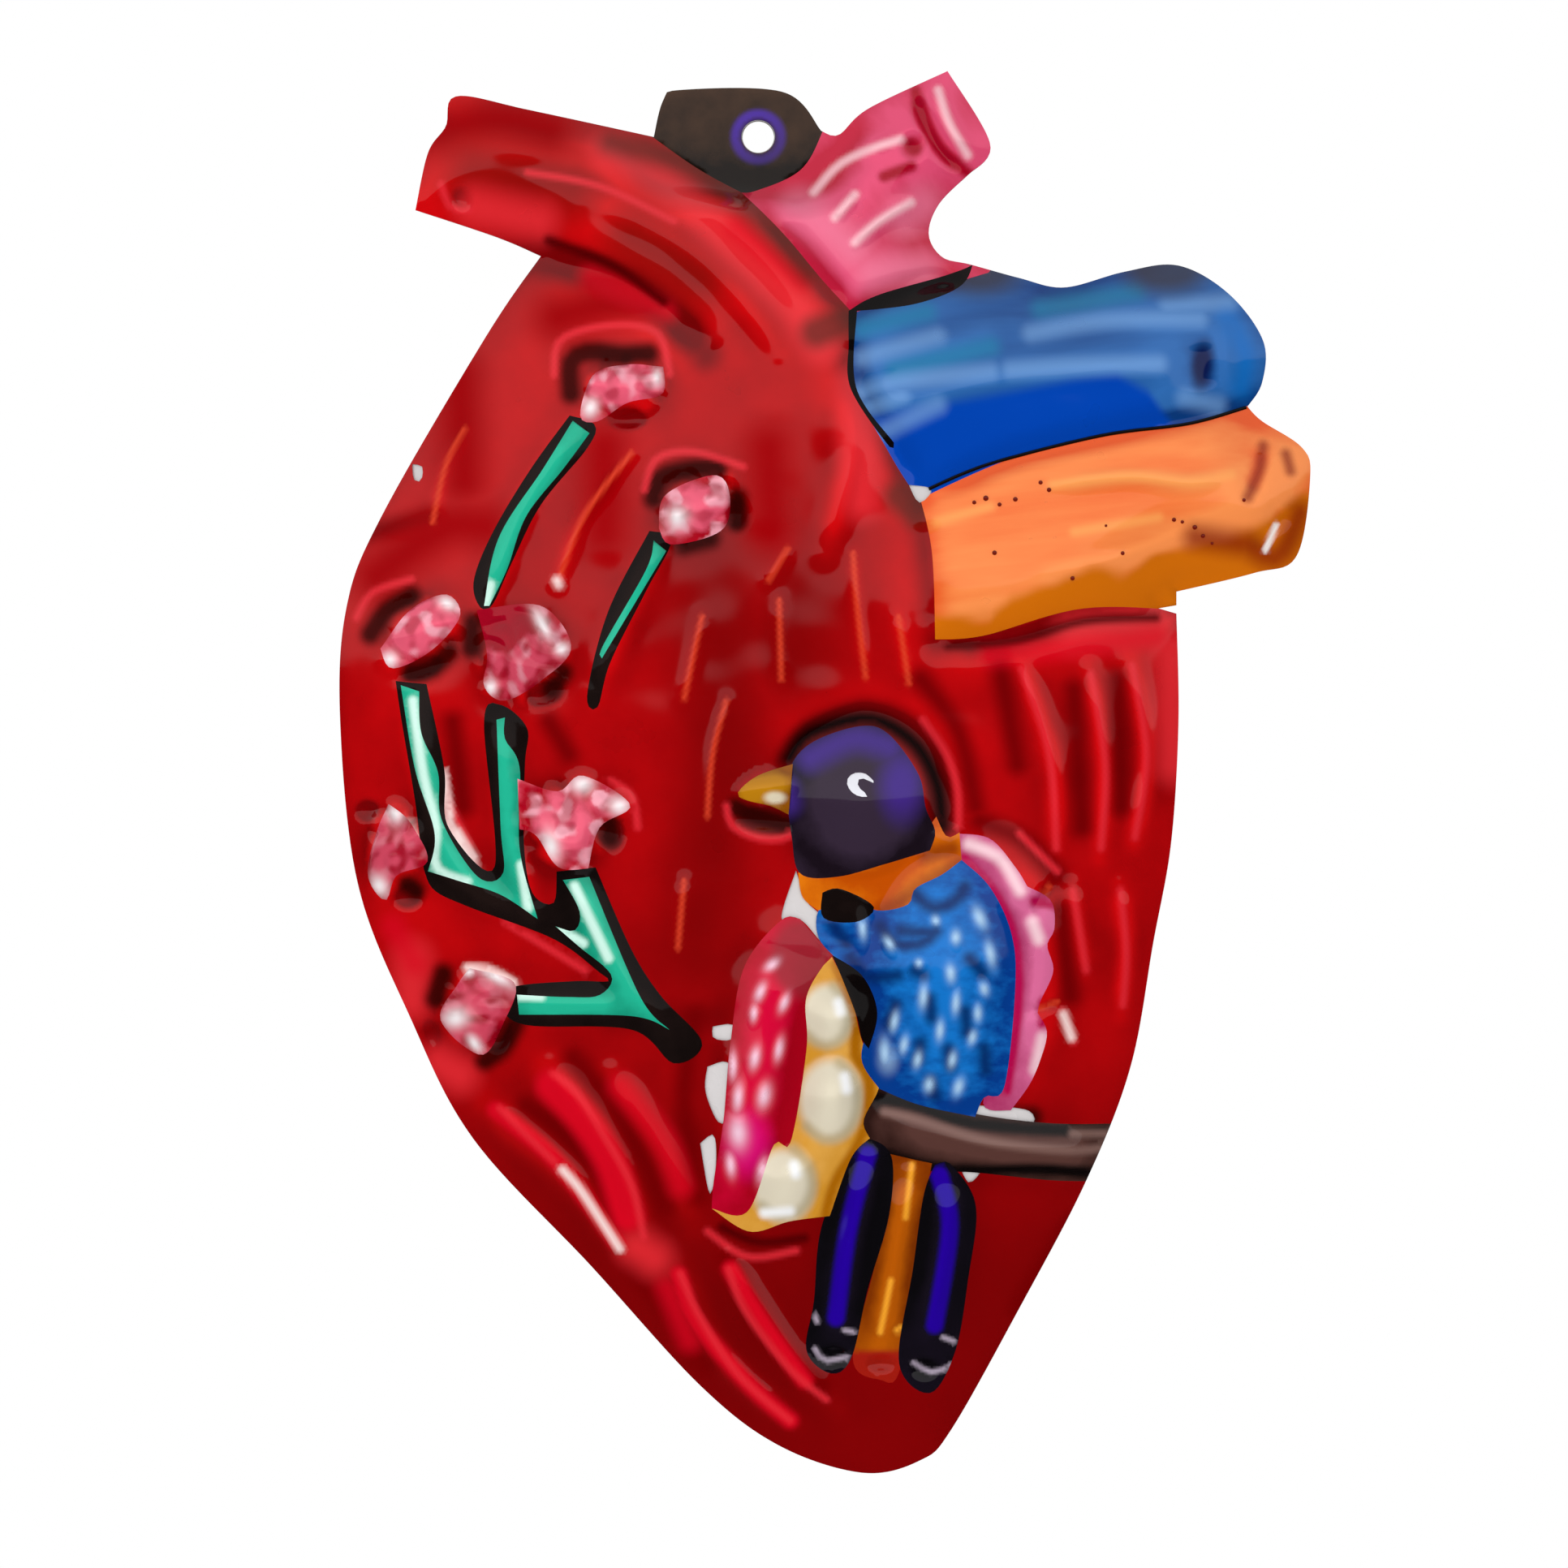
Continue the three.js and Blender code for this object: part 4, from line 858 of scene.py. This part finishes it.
orange = film("orange_vessel", [
    (15.4, -34.8, 1), (16.5, -40), (16.8, -48.2, 1), (21.5, -47.8), (31, -45.2), (42, -45.3, 1),
    (58, -42, 1), (56, -24, 1), (40, -26, 1), (20, -30, 1)], 0.34,
    # Painted highlights: pale lines along the vessel's ridges.
    pale=strokes(0.9, [(28, -33.5), (35, -32.7), (41, -33.2), (45, -32.5)], [(17, -37), (22, -35.6)],
                 [(30, -38), (38, -36.6)], most=0.8),
    ochre=lambda x, z: ease(-0.8, 0.8, np.interp(x, *underside) - z + 0.5 * ripple(x, z, 6, 3)),
    # Darker brown-red at the vessel's right end and down its slot.
    rust=strongest(
        strokes(2.3, [(46.6, -39), (49.6, -40.2), (51.8, -36)], [(41.6, -38.4), (46, -39)], most=0.8),
        strokes(1.0, [(48.2, -29.6), (47.8, -32), (46.6, -34.6)], [(50.4, -30.4), (50.8, -32)], most=0.8)),
    # Painted highlight: a near-white streak at the right end.
    silver=strokes(0.45, [(48.4, -39.6), (49.4, -37.2)], soft=0.2))
put(orange, lacquer("orange vessel lacquer", "f05c24", "ff9450", brush=(14, 1.6, -0.12), patches=[
    ("pale", "ffa458"), ("ochre", "d87008"), ("rust", "8c1e04"), ("silver", "f4ece8")]),
    "orange_vessel", "orange_vessel")

# ---- Bare metal ----
# Spots that the brush missed, mostly round the bird. No film is laid there, so the bright tin of
# the sheet shows between the colours.
for spot in (
        [(3.6, -70.1), (4.6, -73), (5.9, -74.4), (6.2, -77), (4.1, -74.8), (2.2, -74.7)],
        [(-4.8, -88.7), (-2.7, -88.5), (-3.1, -93.5), (-3.9, -93.8), (-5, -91)],
        [(-5.5, -96), (-4.2, -95.2), (-4, -98), (-4.6, -100.8)],
        [(-4.3, -84.9), (-2.4, -84.7), (-2.5, -86.1), (-4.2, -86)],
        [(20.8, -92.4), (25.6, -92.9), (25.8, -94.4), (20.6, -93.9)],
        [(19.2, -98.4), (21.2, -98.4), (20.1, -99.8)],
        [(-33.1, -31.3), (-32.1, -31.6), (-32.2, -32.9), (-32.9, -32.8)]):
    painted.append(loop(spot))

# ---- The red heart ----
# Deep red gloss lacquer brushed over everything that is left, the fourth vessel with it. It pools
# dark in the pressed grooves and round the roses, and is thin and bright on the crests.
fine_lines = [points for height, half, *points in pressed
              if height < 0.5 and half < 0.75 and points[0][1] < -20]
red = film(
    "red_heart", [(-50, 20, 1), (60, 20, 1), (60, -140, 1), (-50, -140, 1)], 0.37,
    shade=strokes(
        2.0, [(-22, -92.6), (-16.5, -97), (-13, -103.6)], [(-17.5, -88), (-12.8, -94), (-9, -102)],
        [(-12, -108), (-9, -112), (-5, -117.4)], [(-6, -84), (-7, -92), (-5.6, -101)],
        [(-38, -38), (-31, -36.6)], [(30, -53), (30.8, -66)], [(34.2, -52), (34.6, -64)],
        [(28.6, -74), (29.6, -82)], [(30, -104), (25, -112)], [(-19.8, -56), (-18, -59)],
        [(-29, -56), (-28, -64)], [(-3, -107), (1, -115), (6, -119)], [(15.5, -52), (19, -57), (20.6, -64)],
        [(21, -65.4), (25.4, -67.4), (28.4, -70.6)], [(22.8, -50), (24.6, -60)], most=0.8),
    # Painted shade: darker towards the bottom.
    low=lambda x, z: 0.85 * ease(-76, -112, z),
    umber=strokes(5.5, [(-27, -3.6), (-18, -5)], [(-12, -10), (-6, -14)], most=0.7),
    calm=strokes(4.5, [(-32, 0.6), (-25, 1.6), (-20, 0.6)], [(-19, -17.4), (-13, -16)],
                 [(-36.4, -42), (-30, -37.6), (-26, -37.4)], [(-28.6, -23), (-28, -33)],
                 [(-14.6, -30), (-14.6, -38)], [(1, -30), (1.4, -38)]),
    # Painted reflection: paler red patches where the room shows in the gloss, at the upper left, the right
    # rim and some flutes.
    flush=strokes(3.4, [(-14, -1.6), (-8.5, -4.5), (-3, -10), (0.5, -13.5), (3.6, -16.6), (6, -20)],
                  [(9.6, -24), (9.8, -35)], [(-27, -6.8), (-21, -8.2)], [(30, -47.4), (38, -46.2)],
                  [(39.6, -49), (39.8, -60)], [(-11.5, -106), (-10, -107)], [(-33, -78.6), (-33.2, -82.6)],
                  [(-30.4, -88.6), (-28.6, -89.6)], most=0.85),
    gloom=strokes(9, [(-4, -40), (-3.4, -60), (-6, -78)], [(4, -44), (3, -50)], most=0.75),
    dim=strokes(2.6, [(-20, -12.4), (-12, -15), (-5, -21)], [(-14, -84), (-4, -84)], most=0.6),
    # Painted shadow: near-black lines under the breast, under the orange vessel and along the groove below
    # the left vessel.
    lip=strokes(0.9, [(-3.4, -104), (0, -105.4), (4.4, -105)],
                [(18, -48.8), (24.5, -48.2), (31, -46.4), (38, -46)], [(-20, -10), (-14, -12.4), (-9, -16)],
                most=0.9),
    # Painted highlights: bright red lines along the ridges and flutes, and round the roses and the head.
    glow=strokes(
        0.62, [(-19.5, -89.4), (-17.4, -91), (-15, -94.6), (-12, -100), (-10.9, -105)],
        [(-7.4, -108.5), (-5.6, -112.5), (-2, -118), (3, -122.6)],
        [(-2.8, -108), (-1.2, -112), (3, -117.5), (6.5, -120.5)], [(-24.6, -92.8), (-19.4, -97.8)],
        [(15.6, -55.8), (17.8, -59), (18.9, -62.4), (19, -65.8)],
        [(-3, -64), (-2.5, -65.8), (-0.5, -66.9), (1.8, -67.2), (3.2, -66.7)],
        [(-30.8, -59.6), (-29.4, -63.6), (-27.4, -67.6)], [(-22, -3.6), (-15, -5), (-8, -8.4)],
        [(24.8, -66.6), (28.4, -70.2)], [(-30.3, -4.6), (-29.4, -6.8), (-27.6, -7)],
        [(25, -51), (27.6, -59), (28.3, -68)], [(31.6, -51.4), (33, -60), (32.6, -68)],
        [(35.6, -50.6), (37, -59), (35.9, -67)], [(29.9, -72), (31.2, -79.6)],
        [(34.5, -72), (35.1, -78), (34.8, -83)], [(28.9, -83.4), (30, -86.4)],
        [(-19.4, -23), (-18.8, -19.6), (-14, -18.3), (-9.6, -19), (-8.4, -23)],
        [(-10.8, -34), (-9.6, -31), (-6, -30.4), (-1.4, -31.8)], [(-24, -75), (-20, -77.4), (-16.4, -79.6)],
        [(-11.4, -66), (-12, -63), (-14, -61.6)], [(-38.4, -46), (-36.8, -43.6), (-33, -42.4)],
        [(-4.8, -104.4), (-1, -106.8), (3.6, -106.2)], most=0.8),
    # Painted highlights: brighter red down the flutes at the lower left and along a few ridges.
    ember=strongest(
        strokes(2.3, [(-19.6, -90.6), (-16.6, -93.8), (-14, -98), (-12.4, -103)], soft=0.3),
        strokes(1.3, [(-25, -93), (-20, -97), (-16.4, -101.4), (-13.6, -105.4)],
                [(-2.6, -108), (0.4, -113), (4.4, -118.6)],
                [(-7.6, -108.6), (-6, -113), (-1, -119), (3, -122.6)], soft=0.2),
        strokes(2.2, [(-13, -90.6), (-9, -95.6), (-7.4, -100)], [(-8.6, -110), (-6.6, -115)],
                [(-34.8, -75.6), (-32.8, -79)], [(22, -49.6), (30, -48.8), (38, -47.8)],
                [(-16, -13.6), (-9, -17)], [(-2, -9), (4, -14)], most=0.7)),
    fine=strokes(0.42, *fine_lines, most=0.85),
    # Dark lacquer in the grooves round the roses and the head; the stroke under the beak is a painted
    # shadow.
    moat=strokes(
        1.7, [(-17.8, -24.8), (-17.8, -21.8), (-16, -20.8), (-13, -21.2), (-10.4, -21)],
        [(-9.9, -34.8), (-9.2, -32.8), (-6, -32), (-3.8, -32)], [(-2, -34.8), (-2, -37)],
        [(-7, -39.2), (-4.6, -38.6)], [(-37, -47.6), (-35.4, -45.4), (-33, -44)],
        [(-33, -51.4), (-31, -51), (-29.4, -49.4)], [(-27.2, -49), (-27, -46.6)],
        [(-18.6, -51.4), (-19.6, -53)], [(-14.2, -65.6), (-14, -67)], [(-33.4, -71.4), (-32.6, -72)],
        [(-30, -80), (-30.8, -82.4)], [(-26, -88.2), (-24.2, -86.8), (-23, -84.4)],
        [(-2, -64.2), (0, -65), (2.8, -65.7)], [(22, -93.8), (26, -93.6)], soft=0.2, most=0.92),
    ring=strokes(1.9, [(3, -59.4), (5, -57), (10.5, -55.7), (14.8, -58), (17, -62), (17.4, -66)]),
    brown=strongest(
        strokes(2.4, [(-14, -0.6), (-6, -3), (0, -7.6), (5, -13)], most=0.75),
        strokes(2.6, [(5.6, -19), (8, -18)], [(13.6, -34.6), (15, -36)], soft=0.2, most=0.8)),
    # Painted highlights: near-white streaks on a flute, on the left stem and beside the far wing.
    silver=strokes(0.75, [(-29.9, -61), (-29.3, -65)], [(-29.4, -65.4), (-27.4, -69.8)],
                   [(-28.6, -66.4), (-27, -69)], [(-29, -66.2), (-26.8, -70.2)],
                   [(-18.6, -98.6), (-17, -100.4), (-15, -103.4), (-13.2, -106.2)],
                   [(-27.6, -79.4), (-25.5, -79.6), (-23.2, -80.8)], [(-33.6, -65.6), (-31.8, -68.2)],
                   [(29, -83.8), (29.8, -86)], [(-19.1, -42.6), (-18.9, -43)]))
red_paint = lacquer("deep red lacquer", "840004", "d8060c", brush=(5, 5, 0), patches=[
    ("shade", "640003"), ("dim", "700003"), ("low", "780002"), ("gloom", "780002"), ("calm", "a00006"),
    ("umber", "740c06"), ("flush", "ec2c34"), ("ember", "dc0820"), ("lip", "4c0002"), ("brown", "541808"),
    ("moat", "240402"), ("ring", "0c0202"), ("glow", "e82c38"), ("fine", "e04428"), ("silver", "ffe0dc")],
    blot=0.5)
# The gloss is cut back over the dark grooves round the roses and the head, the painted shade, shadow and
# highlights, and the calmer red patches, so that the real reflection does not lie over them.
dull = red_paint.attribute("ring")
for key in ("moat", "ember", "lip", "shade", "calm"):
    dull = dull + red_paint.attribute(key)
red_paint.set(Coat_Weight=1 - 0.85 * dull.clip())
put(red, red_paint, "red_heart", "red_heart", "red_pocket")

# ---- Enamel line, pin bubbles and the punched edge ----
# A thin black brush line divides the blue vessel from the orange one. Dried bubbles dot the orange
# lacquer, and the punch left a fine burr of metal round the hanging hole.


def grown(name, tree_name, points, edges, finish, slot, build, **inputs):
    """A piece that a node tree grows from points on the sheet, made a plain mesh."""
    at = np.array([q[:2] for q in points], float)
    lift = relief(*at.T) + SHEET + FILM
    mesh = bpy.data.meshes.new(name)
    mesh.from_pydata([(x * MM, -h * MM, z * MM) for (x, z), h in zip(at, lift)], edges, [])
    seed = bpy.data.objects.new(name, mesh)
    bpy.context.scene.collection.objects.link(seed)
    tree = bpy.data.node_groups.new(tree_name, "GeometryNodeTree")
    tree.interface.new_socket(name="Geometry", in_out="INPUT", socket_type="NodeSocketGeometry")
    tree.interface.new_socket(name="Geometry", in_out="OUTPUT", socket_type="NodeSocketGeometry")
    for key in inputs:
        tree.interface.new_socket(name=key, in_out="INPUT", socket_type="NodeSocketFloat")
    nodes = Nodes(tree)
    given = nodes.node("NodeGroupInput", {}, {})
    shape = build(nodes, *given[:1 + len(inputs)])
    whole = nodes.node("GeometryNodeRealizeInstances", {}, {0: shape})[0]
    smooth = nodes.node("GeometryNodeSetShadeSmooth", {}, {0: whole})[0]
    nodes.node("NodeGroupOutput", {}, {0: nodes.node(
        "GeometryNodeSetMaterial", {}, {"Geometry": smooth, "Material": finish.material})[0]})
    modifier = seed.modifiers.new(tree_name, "NODES")
    modifier.node_group = tree
    for item in tree.interface.items_tree:
        if item.in_out == "INPUT" and item.name in inputs:
            modifier[item.identifier] = inputs[item.name]
    bpy.context.view_layer.update()
    made = bpy.data.meshes.new_from_object(seed.evaluated_get(bpy.context.evaluated_depsgraph_get()))
    seed.modifiers.clear()
    seed.data = made
    made.name = name
    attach(seed, "root")


def bead_line(nodes, line, radius):
    """A round bead along a line."""
    curve = nodes.node("GeometryNodeMeshToCurve", {}, {0: line})[0]
    profile = nodes.node("GeometryNodeCurvePrimitiveCircle", {}, {"Resolution": 8, "Radius": radius})[0]
    return nodes.node("GeometryNodeCurveToMesh", {}, {
        "Curve": curve, "Profile Curve": profile, "Fill Caps": True})[0]


def bubbles(nodes, spots, radius, spread):
    """A ball at each spot, of uneven sizes."""
    ball = nodes.node("GeometryNodeMeshIcoSphere", {}, {"Radius": radius, "Subdivisions": 2})[0]
    sizes = nodes.node("FunctionNodeRandomValue", dict(data_type="FLOAT"),
                       {2: 1 - spread, 3: 1 + spread, "Seed": 5})[1]
    return nodes.node("GeometryNodeInstanceOnPoints", {}, {
        "Points": spots, "Instance": ball, "Scale": sizes})[0]


divide = spline([(16.2, -33.9), (20, -32.2), (24, -30.9), (33, -28.7), (41, -27.6), (46.6, -25.9)], 0.5)
grown("enamel_line", "brush line", divide, [(i, i + 1) for i in range(len(divide) - 1)],
      black, "edge_black", bead_line, Radius=0.17 * MM)
pins = [(20.5, -35.2), (21.6, -34.8), (22.9, -35.4), (24.4, -34.9), (26.8, -33.3), (27.6, -34),
        (39.5, -36.8), (40.3, -37), (41.5, -37.5), (42.3, -38.3), (46.2, -34.9), (43.2, -39), (34.6, -40),
        (33, -37.4), (22.4, -40), (29.8, -42.4)]
scorch = lacquer("scorched lacquer", "6c1408", "a83010", metallic=0.1)
grown("pin_bubbles", "pin bubbles", pins, [],
      scorch, "orange_vessel", bubbles, Radius=0.2 * MM, Spread=0.35)
BURR = 0.06                # half the width of the burr
burr = circle(HOLE + BURR, 72)
grown("hole_burr", "punched edge", burr, [(i, (i + 1) % len(burr)) for i in range(len(burr))],
      tin, "tin_sheet", bead_line, Radius=BURR * MM)

# ---- Floor, light and camera ----
# A pale floor under the hanging ornament, a big soft box in front and a small one at its left, and
# a pale room over a dark bench, which the gloss reflects.
FLOOR, DROP = 2.8, 0.6     # the floor's radius, and how far it lies below the hole, in m
floor_mesh = bpy.data.meshes.new("floor")
floor_mesh.from_pydata([(x, y, -DROP) for x, y in circle(FLOOR, 96)], [], [range(96)])
floor = bpy.data.objects.new("floor", floor_mesh)
bpy.context.scene.collection.objects.link(floor)
paper = Finish("pale floor")
paper.set(Base_Color=paper.mix(paper.noise(40.0), srgb("fafafa"), srgb("ffffff")), Roughness=0.9,
          Emission_Color=(1, 1, 1, 1), Emission_Strength=0.45)
floor_mesh.materials.append(paper.material)
floor.visible_glossy = False

world = bpy.data.worlds.new("studio")
bpy.context.scene.world = world
world.use_nodes = True
room = Nodes(world.node_tree)
way = room.node("ShaderNodeSeparateXYZ", {}, {0: room.node("ShaderNodeTexCoord", {}, {})[0]})


def rise(value, low, high):
    """0 below low, 1 above high, smooth between."""
    return room.node("ShaderNodeMapRange", dict(interpolation_type="SMOOTHSTEP"),
                     {0: value, 1: low, 2: high})[0]


BENCH, WALLS, LOW_BACK, HIGH_BACK = 0.02, 0.5, 0.28, 0.9    # brightness of each part of the room
above = rise(way[2], 0.045, 0.075)                 # pale walls and ceiling over a dark bench
behind = rise(way[1], 0.3, 0.8)                    # a brighter wall at the ornament's back
glow = (BENCH + WALLS * above) * (1 - behind) + (LOW_BACK + HIGH_BACK * rise(way[2], -0.12, 0.3)) * behind
seen = room.node("ShaderNodeLightPath", {}, {})[0]     # 1 where the room is looked at directly: white
room.plug(world.node_tree.nodes["Background"].inputs[1], glow * (1 - seen) + seen)
world.node_tree.nodes["Background"].inputs[0].default_value = (1, 1, 1, 1)

AIM = 0, 0, -0.06          # near the ornament's middle, m


def soft_box(name, at, size, power):
    """A lamp aimed at the ornament and left out of its reflections."""
    light = bpy.data.lights.new(name, "AREA")
    light.shape, light.size, light.size_y, light.energy = "RECTANGLE", size[0], size[1], power
    lamp = bpy.data.objects.new(name, light)
    lamp.location = at
    lamp.rotation_euler = (Vector(AIM) - Vector(at)).to_track_quat("-Z", "Y").to_euler()
    lamp.visible_glossy = False
    bpy.context.scene.collection.objects.link(lamp)


soft_box("front_box", (0, -0.9, 0.12), (1.2, 0.8), 6.0)
soft_box("left_window", (-0.45, -0.4, 0.06), (0.3, 0.4), 0.4)

LENS, SENSOR = 135, 36                     # mm
VIEW = 150.1                               # width of the view at the hole, mm
MIDDLE = 2.46, -61.9                       # the middle of the ornament, mm
camera = bpy.data.objects.new("camera", bpy.data.cameras.new("camera"))
bpy.context.scene.collection.objects.link(camera)
camera.data.lens = LENS
camera.location = (MIDDLE[0] * MM, -VIEW * MM / SENSOR * LENS, MIDDLE[1] * MM)
camera.rotation_euler = (math.radians(90), 0, 0)
bpy.context.scene.camera = camera
bpy.context.scene.view_settings.view_transform = "Standard"
